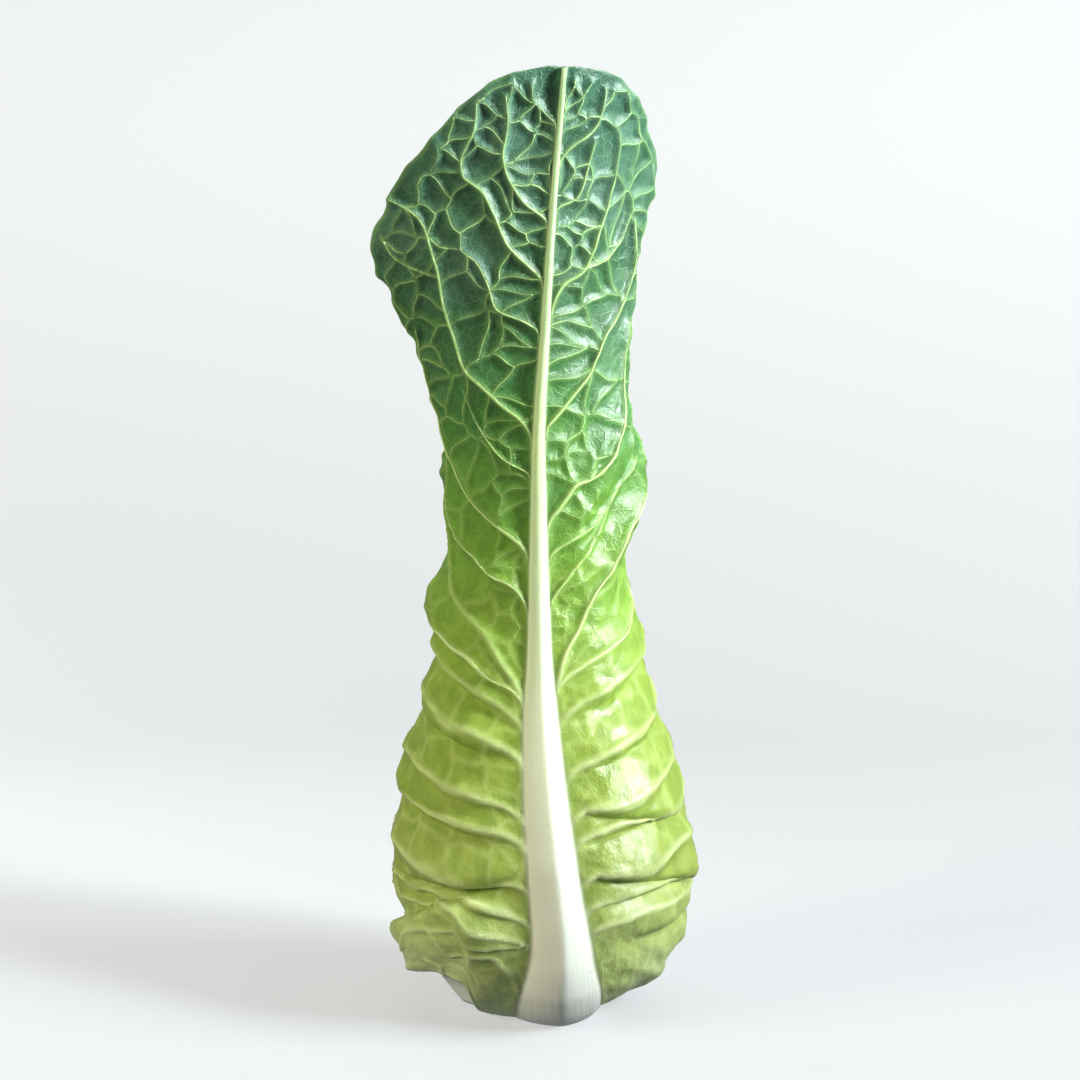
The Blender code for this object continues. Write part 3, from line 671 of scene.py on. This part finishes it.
def seeds_beside(sizes, path, rng):
    """Points in a row on each side of a path, so that the net's cells end on it."""
    seeds = []
    for hand in (-1, 1):
        here = rng.uniform(0.001, 0.004)
        along = lengths_along(path)
        left = crossways(path)
        while here < along[-1]:
            point = np.array([np.interp(here, along, path[:, k]) for k in range(2)])
            aside = np.array([np.interp(here, along, left[:, k]) for k in range(2)])
            size = float(sizes.at(point[None, :])[0])
            seeds.append(point + hand * aside * size * ASIDE)
            here += size * rng.uniform(0.8, 1.25)
    return seeds


def outline(leaf, share, count=160):
    """The line that runs inside the edge at a share of each row's half width, left side first."""
    lines = []
    for side in (-1, 1):
        v = np.linspace(0.03, 0.995, count)
        u = np.full(count, side * (RIB_COLUMNS + (1 - RIB_COLUMNS) * share))
        across, height, _ = flat_leaf(leaf, v, u)
        lines.append(joined(across, height))
    return lines


def spread(leaf, sizes, kept, rng, tries):
    """Adds random points that keep the cells' distance from each other and from those kept."""
    low = leaf.base + 0.01
    x = rng.uniform(-0.1, 0.1, tries)
    z = rng.uniform(low, leaf.height, tries)
    v, u, inside = locate(leaf, x, z)
    candidates = joined(x, z)[inside & (np.abs(u) > RIB_COLUMNS)]
    wanted = sizes.at(candidates)
    kept = list(kept)
    near = {}

    def square(point):
        return int(point[0] // SQUARE), int(point[1] // SQUARE)

    for point in kept:
        near.setdefault(square(point), []).append(point)
    for point, size in zip(candidates, wanted):
        a, b = square(point)
        around = [p for i in (a - 1, a, a + 1) for j in (b - 1, b, b + 1) for p in near.get((i, j), [])]
        gap = min((math.hypot(p[0] - point[0], p[1] - point[1]) for p in around), default=1)
        if gap > size * APART:
            kept.append(point)
            near.setdefault((a, b), []).append(point)
    return np.array(kept)


def circle_centres(corners):
    a, b, c = corners[:, 0], corners[:, 1], corners[:, 2]
    ab, ac = b - a, c - a
    twice = 2 * (ab[:, 0] * ac[:, 1] - ab[:, 1] * ac[:, 0])
    twice = np.where(np.abs(twice) < 1e-12, 1e-12, twice)
    b2, c2 = (ab**2).sum(1), (ac**2).sum(1)
    x = (ac[:, 1] * b2 - ab[:, 1] * c2) / twice
    y = (ab[:, 0] * c2 - ac[:, 0] * b2) / twice
    return a + joined(x, y)


def tree_of(points):
    """A search tree of points of the flat leaf."""
    tree = kdtree.KDTree(len(points))
    for k, (x, z) in enumerate(points):
        tree.insert((x, z, 0), k)
    tree.balance()
    return tree


def net_paths(leaf, main_paths, rng):
    """The net between the side veins: short paths round cells that end on those veins."""
    seeds = []
    sizes = CellSize(leaf)
    for points, _ in main_paths:
        seeds += seeds_beside(sizes, points, rng)
    for line in outline(leaf, 0.9):
        seeds += seeds_beside(sizes, line, rng)
    v = np.linspace(0.05, 0.97, 60)
    for side in (-1, 1):
        rib = leaf.half_rib(v)
        seeds += seeds_beside(sizes, joined(side * rib, leaf.middle(v)), rng)
    seeds = spread(leaf, sizes, seeds, rng, 9000)
    found = geometry.delaunay_2d_cdt([Vector(p) for p in seeds * 1000], [], [], 0, 1e-5)
    verts = np.array([tuple(p) for p in found[0]]) / 1000
    faces = np.array(found[2])
    centres = circle_centres(verts[faces])
    tree = tree_of(np.concatenate([points for points, _ in main_paths]))
    placed = centres.copy()
    snapped = np.zeros(len(centres), bool)
    for i, (x, z) in enumerate(centres):
        near, _, gap = tree.find((x, z, 0))
        if gap is not None and gap < SNAP_TO_MAIN:
            placed[i] = near[:2]
            snapped[i] = True
    v, u, inside = locate(leaf, placed[:, 0], placed[:, 1])
    on_rib = np.abs(u) < RIB_COLUMNS
    beside = {}
    for f, face in enumerate(faces):
        for a, b in ((0, 1), (1, 2), (2, 0)):
            key = (min(face[a], face[b]), max(face[a], face[b]))
            beside.setdefault(key, []).append(f)
    paths = []
    for pair in beside.values():
        if len(pair) != 2:
            continue
        a, b = pair
        if not (inside[a] and inside[b]) or (on_rib[a] and on_rib[b]) or (snapped[a] and snapped[b]):
            continue
        start, end = placed[a], placed[b]
        length = np.linalg.norm(end - start)
        if length < NET_LENGTHS[0] or length > NET_LENGTHS[1]:
            continue
        if (snapped[a] or on_rib[a]) and (snapped[b] or on_rib[b]) and length < SHORTEST_CROSSING:
            continue
        t = np.linspace(0, 1, 12)
        line = start + (end - start) * t[:, None]
        aside = np.array([start[1] - end[1], end[0] - start[0]])
        bow = rng.uniform(-0.11, 0.11)
        line = line + aside * (bow * np.sin(math.pi * t) + 0.03 * np.sin(2 * math.pi * t))[:, None]
        paths.append(line)
    return paths


def distance_field(grid, paths, widths=None):
    """Distance on the flat leaf from each point of the grid to the nearest path, and its width."""
    lines = [evenly(p, 0.0004) for p in paths]
    tree = tree_of(np.concatenate(lines))
    shape = grid.across.shape
    found = [tree.find((x, z, 0))[1:] for x, z in zip(grid.across.ravel(), grid.height.ravel())]
    index, distance = np.array(found).T
    if widths is None:
        return distance.reshape(shape)
    wide = np.concatenate([np.interp(np.linspace(0, 1, len(line)), np.linspace(0, 1, len(w)), w)
                           for line, w in zip(lines, widths)])
    return distance.reshape(shape), wide[index.astype(int)].reshape(shape)


def quads(index):
    """The faces between the points of a grid, from their numbers."""
    return joined(index[:-1, :-1], index[:-1, 1:], index[1:, 1:], index[1:, :-1]).reshape(-1, 4)


def tube(index):
    """The faces between rings of points."""
    return quads(np.hstack([index, index[:, :1]])).tolist()


def rings(rows, around):
    """The faces of rings closed by two more points, one below and one above."""
    index = np.arange(rows * around).reshape(rows, around)
    after = np.roll(index, -1, axis=1)
    below = [(rows * around, after[0, k], index[0, k]) for k in range(around)]
    above = [(rows * around + 1, index[-1, k], after[-1, k]) for k in range(around)]
    return tube(index) + below + above


def rim_of(index):
    """The points round the edge of a grid."""
    return np.concatenate([index[0, :], index[1:, -1], index[-1, -2::-1], index[-2:0:-1, 0]])


def mesh_object(name, points, faces, marks, material):
    """A smooth mesh with a number at each point for every mark, and the flat leaf's coordinates."""
    mesh = bpy.data.meshes.new(name)
    mesh.from_pydata(points.tolist(), [], faces)
    mesh.update()
    mesh.shade_smooth()
    for label, values in marks.items():
        if values.ndim == 2:
            layer = mesh.attributes.new(label, "FLOAT_VECTOR", "POINT")
            layer.data.foreach_set("vector", values.astype(np.float32).ravel())
        else:
            layer = mesh.attributes.new(label, "FLOAT", "POINT")
            layer.data.foreach_set("value", values.astype(np.float32).ravel())
    mesh.materials.append(material)
    obj = bpy.data.objects.new(name, mesh)
    bpy.context.scene.collection.objects.link(obj)
    return obj


def marks_of(grid, step, **more):
    """What a leaf's material reads at each point, or at every so many."""
    leaf = grid.leaf
    rib_edge = np.abs(grid.U) / RIB_COLUMNS
    marks = {
        "up": grid.height / HEIGHT * (HEIGHT / leaf.height) ** 0.6,
        "rib": 1 - smooth(0.93, 1.1, rib_edge),
        "edge": smooth(0.965, 1, np.maximum(grid.share, smooth(0.985, 1, grid.V))),
    }
    marks.update(more)
    marks = {label: values[::step, ::step].ravel() for label, values in marks.items()}
    flat = joined(grid.across / MM, grid.height / MM, np.full_like(grid.across, leaf.seed * 9))
    marks["flat"] = flat[::step, ::step].reshape(-1, 3)
    return marks


def blade(grid, material):
    """The closed fine blade: its outer face on the whole grid, its inner face on every second line."""
    outer, inner = grid.outer, grid.inner[::2, ::2]
    index = np.arange(outer[..., 0].size).reshape(outer.shape[:2])
    behind = np.arange(inner[..., 0].size).reshape(inner.shape[:2]) + index.size
    rim, inner_rim = rim_of(index), rim_of(behind)
    a, middle, b = rim[0::2], rim[1::2], np.roll(rim, -2)[0::2]
    c, d = inner_rim, np.roll(inner_rim, -1)
    between = ((a, c, middle), (middle, c, d), (middle, d, b))
    side = np.concatenate([np.stack(corners, -1) for corners in between])
    points = np.concatenate([outer.reshape(-1, 3), inner.reshape(-1, 3)])
    fields = {"near_main": grid.near_main, "near_net": grid.near_net, "vein": np.zeros_like(grid.V)}
    marks_out, marks_in = marks_of(grid, 1, **fields), marks_of(grid, 2, **fields)
    marks = {label: np.concatenate([marks_out[label], marks_in[label]]) for label in marks_out}
    faces = quads(index).tolist() + quads(behind)[:, [0, 3, 2, 1]].tolist() + side.tolist()
    return mesh_object(grid.leaf.name + "_blade", points, faces, marks, material)


NET_HALO = 0.0009
LOWEST_RIDGE = 0.34  # share of the height below which a side vein is only a swelling of the blade
SINK_ON_RIB = 0.0005  # depth at which a vein runs on under the midrib's skin
RIDGE_ROOT = 0.35 * MM  # depth of a ridge's foot in the blade
RIDGE_ACROSS = np.array([-1, -0.62, 0, 0.62, 1])
RIDGE_UP = np.array([-0.12, 0.62, 1, 0.62, -0.12])
RIDGE_CORE = np.array([0, 0.85, 1, 0.85, 0])


def ridges(grid, name, paths, material, face=1, lowest=0):
    """Raised veins along paths of the flat leaf: (points, half widths, heights, paleness) of each."""
    leaf = grid.leaf
    points, half, rise, tones, first = [], [], [], [], []
    for line, widths, heights, tone in paths:
        even = evenly(line, 0.001)
        if even[:, 1].max() < lowest:
            continue
        share = np.linspace(0, 1, len(even))
        points.append(even)
        half.append(np.interp(share, np.linspace(0, 1, len(widths)), widths))
        rise.append(np.interp(share, np.linspace(0, 1, len(heights)), heights))
        tones.append(np.full(len(even), tone))
        first.append(len(even))
    aside = np.concatenate([crossways(p) for p in points])
    points, half, rise = np.concatenate(points), np.concatenate(half), np.concatenate(rise)
    across = points[:, None, 0] + aside[:, None, 0] * half[:, None] * RIDGE_ACROSS
    height = points[:, None, 1] + aside[:, None, 1] * half[:, None] * RIDGE_ACROSS
    v, u, _ = locate(leaf, across, height)
    surface = grid.outer if face > 0 else grid.inner
    normal = grid.face_normal if face > 0 else -grid.normal
    place = grid.sample(surface, v, u)
    way = grid.sample(normal, v, u)
    way /= np.linalg.norm(way, axis=-1, keepdims=True)
    rib = leaf.half_rib(v)
    sunk = SINK_ON_RIB * (1 - smooth(0.95, 1.2, np.abs(across) / rib))
    top = place + way * (rise[:, None] * RIDGE_UP - sunk)[..., None]
    root = (place[:, 2] - way[:, 2] * RIDGE_ROOT)[:, None, :]
    points = np.concatenate([top, root], 1)
    ring = points.shape[1]
    faces, at = [], 0
    for count in first:
        index = at + np.arange(count * ring).reshape(count, ring)
        faces += tube(index) + [index[0, ::-1].tolist(), index[-1].tolist()]
        at += count * ring
    marks = {}
    for label, values in marks_of(grid, 1).items():
        shape = grid.across.shape + ((3,) if label == "flat" else ())
        found = grid.sample(values.reshape(shape), v, u)
        found = np.concatenate([found, found[:, 2:3]], 1)
        marks[label] = found.reshape(-1, 3) if label == "flat" else found.ravel()
    core = np.broadcast_to(np.append(RIDGE_CORE, 0), (len(points), ring))
    marks["vein"] = core.ravel() * np.repeat(np.concatenate(tones), ring)
    marks["near_main"] = np.zeros(len(marks["up"]))
    marks["near_net"] = np.zeros(len(marks["up"]))
    points = points.reshape(-1, 3)
    points[:, 2] = np.maximum(points[:, 2], 0)
    return mesh_object(name, points, faces, marks, material)


def srgb(code):
    """Linear colour of a six-digit hex code."""
    parts = [int(code[i : i + 2], 16) / 255 for i in (0, 2, 4)]
    return tuple(((c + 0.055) / 1.055) ** 2.4 if c > 0.04045 else c / 12.92 for c in parts) + (1,)


class Shader:
    """A short way to write a material's nodes."""

    def __init__(self, name):
        self.material = bpy.data.materials.new(name)
        self.material.use_nodes = True
        self.tree = self.material.node_tree
        self.surface = self.tree.nodes["Principled BSDF"]

    def put(self, kind, values=None, **settings):
        node = self.tree.nodes.new("ShaderNode" + kind)
        for name, value in settings.items():
            setattr(node, name, value)
        self.fill(node, values or {})
        return node

    def fill(self, node, values):
        for name, value in values.items():
            if hasattr(value, "is_output"):
                self.tree.links.new(value, node.inputs[name])
            else:
                node.inputs[name].default_value = value

    def mark(self, name, output="Fac"):
        return self.put("Attribute", attribute_name=name).outputs[output]

    def math(self, operation, a, b=0):
        return self.put("Math", {0: a, 1: b}, operation=operation).outputs[0]

    def plus(self, a, b):
        return self.math("ADD", a, b)

    def times(self, a, b):
        return self.math("MULTIPLY", a, b)

    def minus(self, a, b):
        return self.math("SUBTRACT", a, b)

    def steps(self, x, low, high, to_low=0, to_high=1):
        values = {"Value": x, "From Min": low, "From Max": high, "To Min": to_low, "To Max": to_high}
        return self.put("MapRange", values, interpolation_type="SMOOTHSTEP").outputs["Result"]

    def mix(self, share, a, b, blend="MIX"):
        node = self.put("Mix", data_type="RGBA", blend_type=blend)
        self.fill(node, {0: share, 6: a, 7: b})
        return node.outputs[2]

    def ramp(self, x, stops):
        node = self.put("ValToRGB", {"Fac": x})
        ends = node.color_ramp.elements
        while len(ends) < len(stops):
            ends.new(0.5)
        for element, (place, code) in zip(ends, stops.items()):
            element.position = place / 100
            element.color = srgb(code)
        return node.outputs["Color"]

    def noise(self, where, scale, detail=3, roughness=0.5):
        values = {"Vector": where, "Scale": scale, "Detail": detail, "Roughness": roughness}
        return self.put("TexNoise", values).outputs["Fac"]

    def cells(self, where, scale):
        values = {"Vector": where, "Scale": scale}
        return self.put("TexVoronoi", values, feature="DISTANCE_TO_EDGE").outputs[0]

    def vector(self, operation, a, b):
        return self.put("VectorMath", {0: a, 1: b}, operation=operation).outputs[0]


def leaf_material():
    s = Shader("leaf_skin")
    flat = s.mark("flat", "Vector")
    up, rib, vein, edge = s.mark("up"), s.mark("rib"), s.mark("vein"), s.mark("edge")
    near_main, near_net = s.mark("near_main"), s.mark("near_net")
    broad = s.noise(flat, 0.035)
    medium = s.noise(flat, 0.16, 4, 0.6)
    small = s.noise(flat, 0.9)
    drift = s.plus(up, s.times(s.minus(broad, 0.5), 0.14))
    blade_colour = s.ramp(drift, {
        0: "D2DCA8", 8: "BAC878", 16: "A2B154", 30: "96AC46", 41: "8CAA3E", 52: "6E9C36", 64: "3C742E",
        78: "285A36", 100: "2C6049",
    })
    dark = s.mix(1, blade_colour, srgb("DFE6D8"), "MULTIPLY")
    blade_colour = s.mix(s.steps(medium, 0.35, 0.68), dark, blade_colour)
    warp = s.put("TexNoise", {"Vector": flat, "Scale": 0.25, "Detail": 2}).outputs["Color"]
    bent = s.vector("ADD", flat, s.vector("MULTIPLY", warp, (2.4, 2.4, 0)))
    lines = s.steps(s.cells(bent, 0.3), 0.01, 0.1, 1, 0)
    tiny = s.steps(s.cells(bent, 0.95), 0.02, 0.16, 1, 0)
    pale = s.ramp(up, {0: "D3DE98", 35: "BCD277", 60: "90B65E", 80: "8CB66A", 100: "88B274"})
    fine_lines = s.plus(s.times(lines, 0.13), s.times(tiny, 0.05))
    fine_lines = s.times(fine_lines, s.steps(up, 0.25, 0.6, 0.35, 1))
    blade_colour = s.mix(fine_lines, blade_colour, pale)
    bloom = s.times(s.steps(up, 0.5, 0.85), s.steps(broad, 0.3, 0.75, 0.03, 0.16))
    blade_colour = s.mix(bloom, blade_colour, srgb("9FBDB4"))
    vein_colour = s.ramp(up, {
        0: "DEE4B0", 25: "D6E0A2", 42: "C6DA90", 62: "B8D284", 82: "ACCC80", 100: "A6C888",
    })
    soft = s.times(near_main, s.steps(up, 0.25, 0.6, 0.75, 0.4))
    blade_colour = s.mix(soft, blade_colour, vein_colour)
    blade_colour = s.mix(s.times(near_net, s.steps(up, 0.3, 0.65, 0.38, 0.3)), blade_colour, pale)
    colour = s.mix(vein, blade_colour, vein_colour)
    rib_colour = s.ramp(up, {
        0: "F4F4EA", 8: "F0F0E2", 16: "EAEBDA", 32: "E3E9CC", 46: "D6E4BA", 62: "C8DDA2", 80: "BCD6A0",
        100: "B2CE98",
    })
    fibres = s.noise(s.vector("MULTIPLY", flat, (1.1, 0.05, 1)), 1, 3)
    rib_colour = s.mix(s.steps(fibres, 0.45, 0.75, 0, 0.22), rib_colour, srgb("DCE2B2"))
    colour = s.mix(rib, colour, rib_colour)
    colour = s.mix(s.times(edge, 0.45), colour, pale)
    rough = s.plus(s.steps(medium, 0.3, 0.7, 0.32, 0.44), s.times(bloom, 0.3))
    rough = s.minus(rough, s.times(rib, 0.05))
    rise = s.plus(s.times(lines, 0.5), s.times(tiny, 0.2))
    rise = s.times(rise, s.steps(up, 0.3, 0.6, 0.12, 0.6))
    rise = s.plus(rise, s.times(small, 0.4))
    rise = s.plus(rise, s.times(medium, s.steps(up, 0.4, 0.65, 2.6, 1.5)))
    rise = s.times(rise, s.minus(1, rib))
    rise = s.plus(rise, s.times(s.times(fibres, rib), 0.45))
    bump = s.put("Bump", {"Height": rise, "Strength": 0.6, "Distance": 0.0004})
    s.fill(s.surface, {
        "Base Color": colour, "Roughness": rough, "Normal": bump.outputs["Normal"],
        "Subsurface Weight": 0.06, "Subsurface Scale": 0.0012, "Subsurface Radius": (0.6, 1, 0.3),
        "Specular IOR Level": 0.5,
    })
    return s.material


HEART = scaled(LENGTHS, [
    (195, 120), (225, 175), (280, 235), (360, 290), (460, 325), (600, 336), (750, 316), (900, 280),
    (1070, 228), (1270, 176), (1470, 144), (1670, 124), (1850, 98), (1970, 66), (2050, 30),
])
HEART_LEAVES = 4
HEART_STEP = 0.0017
HEART_TWIST = 9


def heart_material():
    s = Shader("heart_skin")
    flat = s.mark("flat", "Vector")
    broad = s.noise(flat, 0.05)
    veins = s.cells(flat, 0.09)
    fine = s.cells(flat, 0.3)
    colour = s.ramp(broad, {30: "B9CC72", 70: "D3DE9C"})
    line = s.steps(veins, 0, 0.07, 1, 0)
    small = s.steps(fine, 0, 0.12, 1, 0)
    colour = s.mix(s.times(small, 0.35), colour, srgb("DDE6B4"))
    colour = s.mix(s.times(line, 0.8), colour, srgb("EEF2D2"))
    rise = s.plus(line, s.times(small, 0.3))
    bump = s.put("Bump", {"Height": rise, "Strength": 0.5, "Distance": 0.0006})
    s.fill(s.surface, {
        "Base Color": colour, "Roughness": 0.42, "Normal": bump.outputs["Normal"],
        "Subsurface Weight": 0.12, "Subsurface Scale": 0.004,
    })
    return s.material


def heart(material):
    """The tight cone of young leaves, each leaf's edge standing over the next."""
    steps, around = 200, 192
    z = np.linspace(HEART[0][0], HEART[-1][0], steps)
    angle = 2 * math.pi * np.arange(around) / around
    Z, A = np.meshgrid(z, angle, indexing="ij")
    radius = profile(HEART, Z)
    turn = ((A + HEART_TWIST * Z) * HEART_LEAVES / (2 * math.pi)) % 1
    step = HEART_STEP * (np.minimum(turn, (1 - turn) * 24) - 0.5) * np.minimum(1, radius / 0.012)
    step += 0.0003 * Ripple(5, 0.02).at(A * 0.03, Z) * np.minimum(1, radius / 0.02)
    radius = radius + step
    points = joined(radius * np.sin(A), -radius * np.cos(A), Z).reshape(-1, 3)
    points = np.concatenate([points, [(0, 0, z[0]), (0, 0, z[-1] + 0.002)]])
    flat = joined(A * 0.03 / MM, Z / MM, np.zeros_like(A)).reshape(-1, 3)
    flat = np.concatenate([flat, flat[:1], flat[-1:]])
    return mesh_object("heart_leaves", points, rings(steps, around), {"flat": flat}, material)


STEM_RADIUS = 0.0195
STEM_TOP_RADIUS = 0.0112
STEM_HEIGHT = 0.019


def stem_material():
    s = Shader("stem_flesh")
    where = s.put("TexCoord").outputs["Object"]
    parts = s.put("SeparateXYZ", {0: where})
    x, y, z = parts.outputs[0], parts.outputs[1], parts.outputs[2]
    radius = s.math("SQRT", s.plus(s.times(x, x), s.times(y, y)))
    speck = s.noise(where, 900, 4, 0.7)
    broad = s.noise(where, 90)
    colour = s.ramp(broad, {30: "DCDDBE", 70: "ECEBD6"})
    ring = s.steps(s.math("ABSOLUTE", s.minus(radius, 0.0135)), 0, 0.0016, 1, 0)
    below = s.steps(z, 0, 0.0006, 1, 0)
    colour = s.mix(s.times(s.times(ring, below), 0.5), colour, srgb("C3CB93"))
    colour = s.mix(s.steps(speck, 0.55, 0.75, 0, 0.4), colour, srgb("C9C49C"))
    bump = s.put("Bump", {"Height": speck, "Strength": 0.4, "Distance": 0.0004})
    s.fill(s.surface, {"Base Color": colour, "Roughness": 0.55, "Normal": bump.outputs["Normal"],
                       "Subsurface Weight": 0.1, "Subsurface Scale": 0.003})
    return s.material


def stem(material):
    """The short stump: a level cut below, scarred sides, and a top hidden in the heart."""
    around, steps = 96, 26
    angle = 2 * math.pi * np.arange(around) / around
    rounding = 0.0008
    side = [(STEM_RADIUS - rounding, 0), (STEM_RADIUS - rounding * 0.3, rounding * 0.3)]
    side += [(STEM_RADIUS + (STEM_TOP_RADIUS - STEM_RADIUS) * t, STEM_HEIGHT * t)
             for t in np.linspace(0.06, 1, steps)]
    scars = Ripple(3, 0.006)
    points = []
    for radius, z in [(0.5 * STEM_RADIUS, 0)] + side + [(0.5 * STEM_TOP_RADIUS, STEM_HEIGHT)]:
        dent = 0.00022 * scars.at(angle * STEM_RADIUS, z) * smooth(0, 0.003, z) - 0.0002
        ring_radius = radius + dent
        points += [(r * math.sin(a), -r * math.cos(a), z) for a, r in zip(angle, ring_radius)]
    points += [(0, 0, 0), (0, 0, STEM_HEIGHT)]
    faces = rings(len(points) // around, around)
    return mesh_object("stem_stump", np.array(points), faces, {}, material)


def add(obj, node):
    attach(obj, "root")
    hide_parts(node)


# By the share of the height
NET_WIDTH = [(0, 0.14), (0.5, 0.16), (0.68, 0.22), (1, 0.24)]
NET_TONE = [(0, 0.15), (0.45, 0.25), (0.65, 0.7), (0.85, 0.95)]


def wrapper(leaf, material):
    """A leaf's blade, its side veins and the net between them."""
    rng = np.random.RandomState(leaf.seed)
    grid = Grid(leaf)
    main = side_paths(leaf, rng)
    net = net_paths(leaf, main, rng)
    lines = [points for points, _ in main]
    sizes = [0.35 + 0.65 * strength for _, strength in main]
    belly = [1 - float(smooth(0.25, 0.6, points[0, 1] / leaf.height)) for points in lines]
    widths = [[MM * size * (start + soft * more)
               for start, more in ((1.1, 0.3), (0.8, 0.15), (0.62, 0.1), (0.45, 0.05))]
              for size, soft in zip(sizes, belly)]
    on_lobe = lobe_paths(leaf) if leaf.lobed else []
    soft_veins = [[0.75 * MM, 0.65 * MM, 0.5 * MM, 0.35 * MM]] * len(on_lobe)
    to_main, main_width = distance_field(grid, lines + on_lobe, widths + soft_veins)
    grid.relief(to_main, main_width, distance_field(grid, net))
    add(blade(grid, material), leaf.name)
    strong = []
    for points, size, soft in zip(lines, sizes, belly):
        if points[0, 1] < LOWEST_RIDGE * leaf.height:
            continue
        level = points[0, 1] / leaf.height
        wide = float(profile([(0, 0.9), (0.35, 0.85), (0.6, 0.62), (1, 0.46)], level))
        size = MM * size * wide
        strong.append((points, [size, size * 0.85, size * 0.7, size * 0.4],
                       [0, size * (0.6 - 0.3 * soft), size * (0.5 - 0.2 * soft), size * 0.25], 1))
    thin = []
    for line in net:
        level = line[:, 1].mean() / leaf.height
        fresh = rng.uniform(0.55, 1.15)
        size = fresh * MM * float(profile(NET_WIDTH, level))
        tone = min(1, fresh + 0.1) * float(profile(NET_TONE, level))
        if line[:, 1].max() > leaf.net_from:
            thin.append((line, [size, size], [size * 0.6, size * 0.6], tone))
    both = strong + thin
    add(ridges(grid, leaf.name + "_veins", both, material), leaf.name)
    shallow = [(line, widths, [h * 0.4 for h in heights], tone) for line, widths, heights, tone in both]
    inside = ridges(grid, leaf.name + "_veins_inside", shallow, material, -1, leaf.height * 0.7)
    add(inside, leaf.name)


def stage():
    """A pale floor that sweeps up into the backdrop."""
    near, far, bend, top, half = -2.2, 0.4, 0.5, 2.8, 3.5
    line = [(near, 0)]
    line += [(far + bend * math.sin(a), bend - bend * math.cos(a))
             for a in np.linspace(0, math.pi / 2, 24)]
    line.append((far + bend, top))
    points = [(x, y, z) for y, z in line for x in (-half, half)]
    faces = [(2 * k, 2 * k + 1, 2 * k + 3, 2 * k + 2) for k in range(len(line) - 1)]
    s = Shader("pale_paper")
    place = s.put("TexCoord").outputs["Object"]
    level = s.put("SeparateXYZ", {0: place}).outputs["Z"]
    colour = s.mix(s.steps(level, 0, 0.35), srgb("9EA1A2"), srgb("B4B7B9"))
    s.fill(s.surface, {"Base Color": colour, "Roughness": 0.8,
                       "Emission Color": srgb("F5F6F8"), "Emission Strength": 0.49})
    obj = mesh_object("floor", np.array(points), faces, {}, s.material)
    obj.visible_diffuse = False  # it would light the leaves from below as much as the window does
    obj.visible_glossy = False


def area_light(name, place, size, power, colour, aim=(0, 0, 0.16), spread=180, shine=True):
    data = bpy.data.lights.new(name, "AREA")
    data.spread = math.radians(spread)
    data.shape = "RECTANGLE"
    data.size, data.size_y = size
    data.energy = power
    data.color = colour
    obj = bpy.data.objects.new(name, data)
    obj.location = place
    obj.rotation_euler = (Vector(aim) - Vector(place)).to_track_quat("-Z", "Y").to_euler()
    obj.visible_glossy = shine
    bpy.context.scene.collection.objects.link(obj)


def lights():
    area_light("window", (1.28, -0.36, 0.82), (0.6, 0.6), 26, (0.9, 0.97, 1), (0, 0, 0.26))
    area_light("window_top", (1.05, -0.5, 0.75), (0.4, 0.4), 1, (0.88, 0.97, 1), (0.02, 0, 0.3), 20)
    area_light("fill", (-1.2, -0.6, 0.6), (0.6, 0.6), 14, (1, 0.95, 0.66), shine=False)
    area_light("above", (0.1, 0.3, 1.7), (2, 1), 8, (0.98, 0.99, 1))
    world = bpy.data.worlds.new("studio")
    world.use_nodes = True
    background = world.node_tree.nodes["Background"]
    background.inputs["Color"].default_value = (0.86, 0.91, 0.96, 1)
    background.inputs["Strength"].default_value = 0.19
    bpy.context.scene.world = world
    bpy.context.scene.view_settings.view_transform = "Standard"


CAMERA_LENS = 85
CAMERA_DISTANCE = 0.9
CAMERA_RISE = math.radians(9)
CAMERA_AIM = Vector((0, 0, 0.168))


def camera():
    data = bpy.data.cameras.new("camera")
    data.lens = CAMERA_LENS
    data.sensor_width = 36
    obj = bpy.data.objects.new("camera", data)
    away = Vector((0, -math.cos(CAMERA_RISE), math.sin(CAMERA_RISE)))
    obj.location = CAMERA_AIM + away * CAMERA_DISTANCE
    obj.rotation_euler = (-away).to_track_quat("-Z", "Y").to_euler()
    bpy.context.scene.collection.objects.link(obj)
    bpy.context.scene.camera = obj


def main():
    skin = leaf_material()
    for leaf in WRAPPERS:
        wrapper(leaf, skin)
    add(heart(heart_material()), "heart")
    add(stem(stem_material()), "stem")
    stage()
    lights()
    camera()


main()
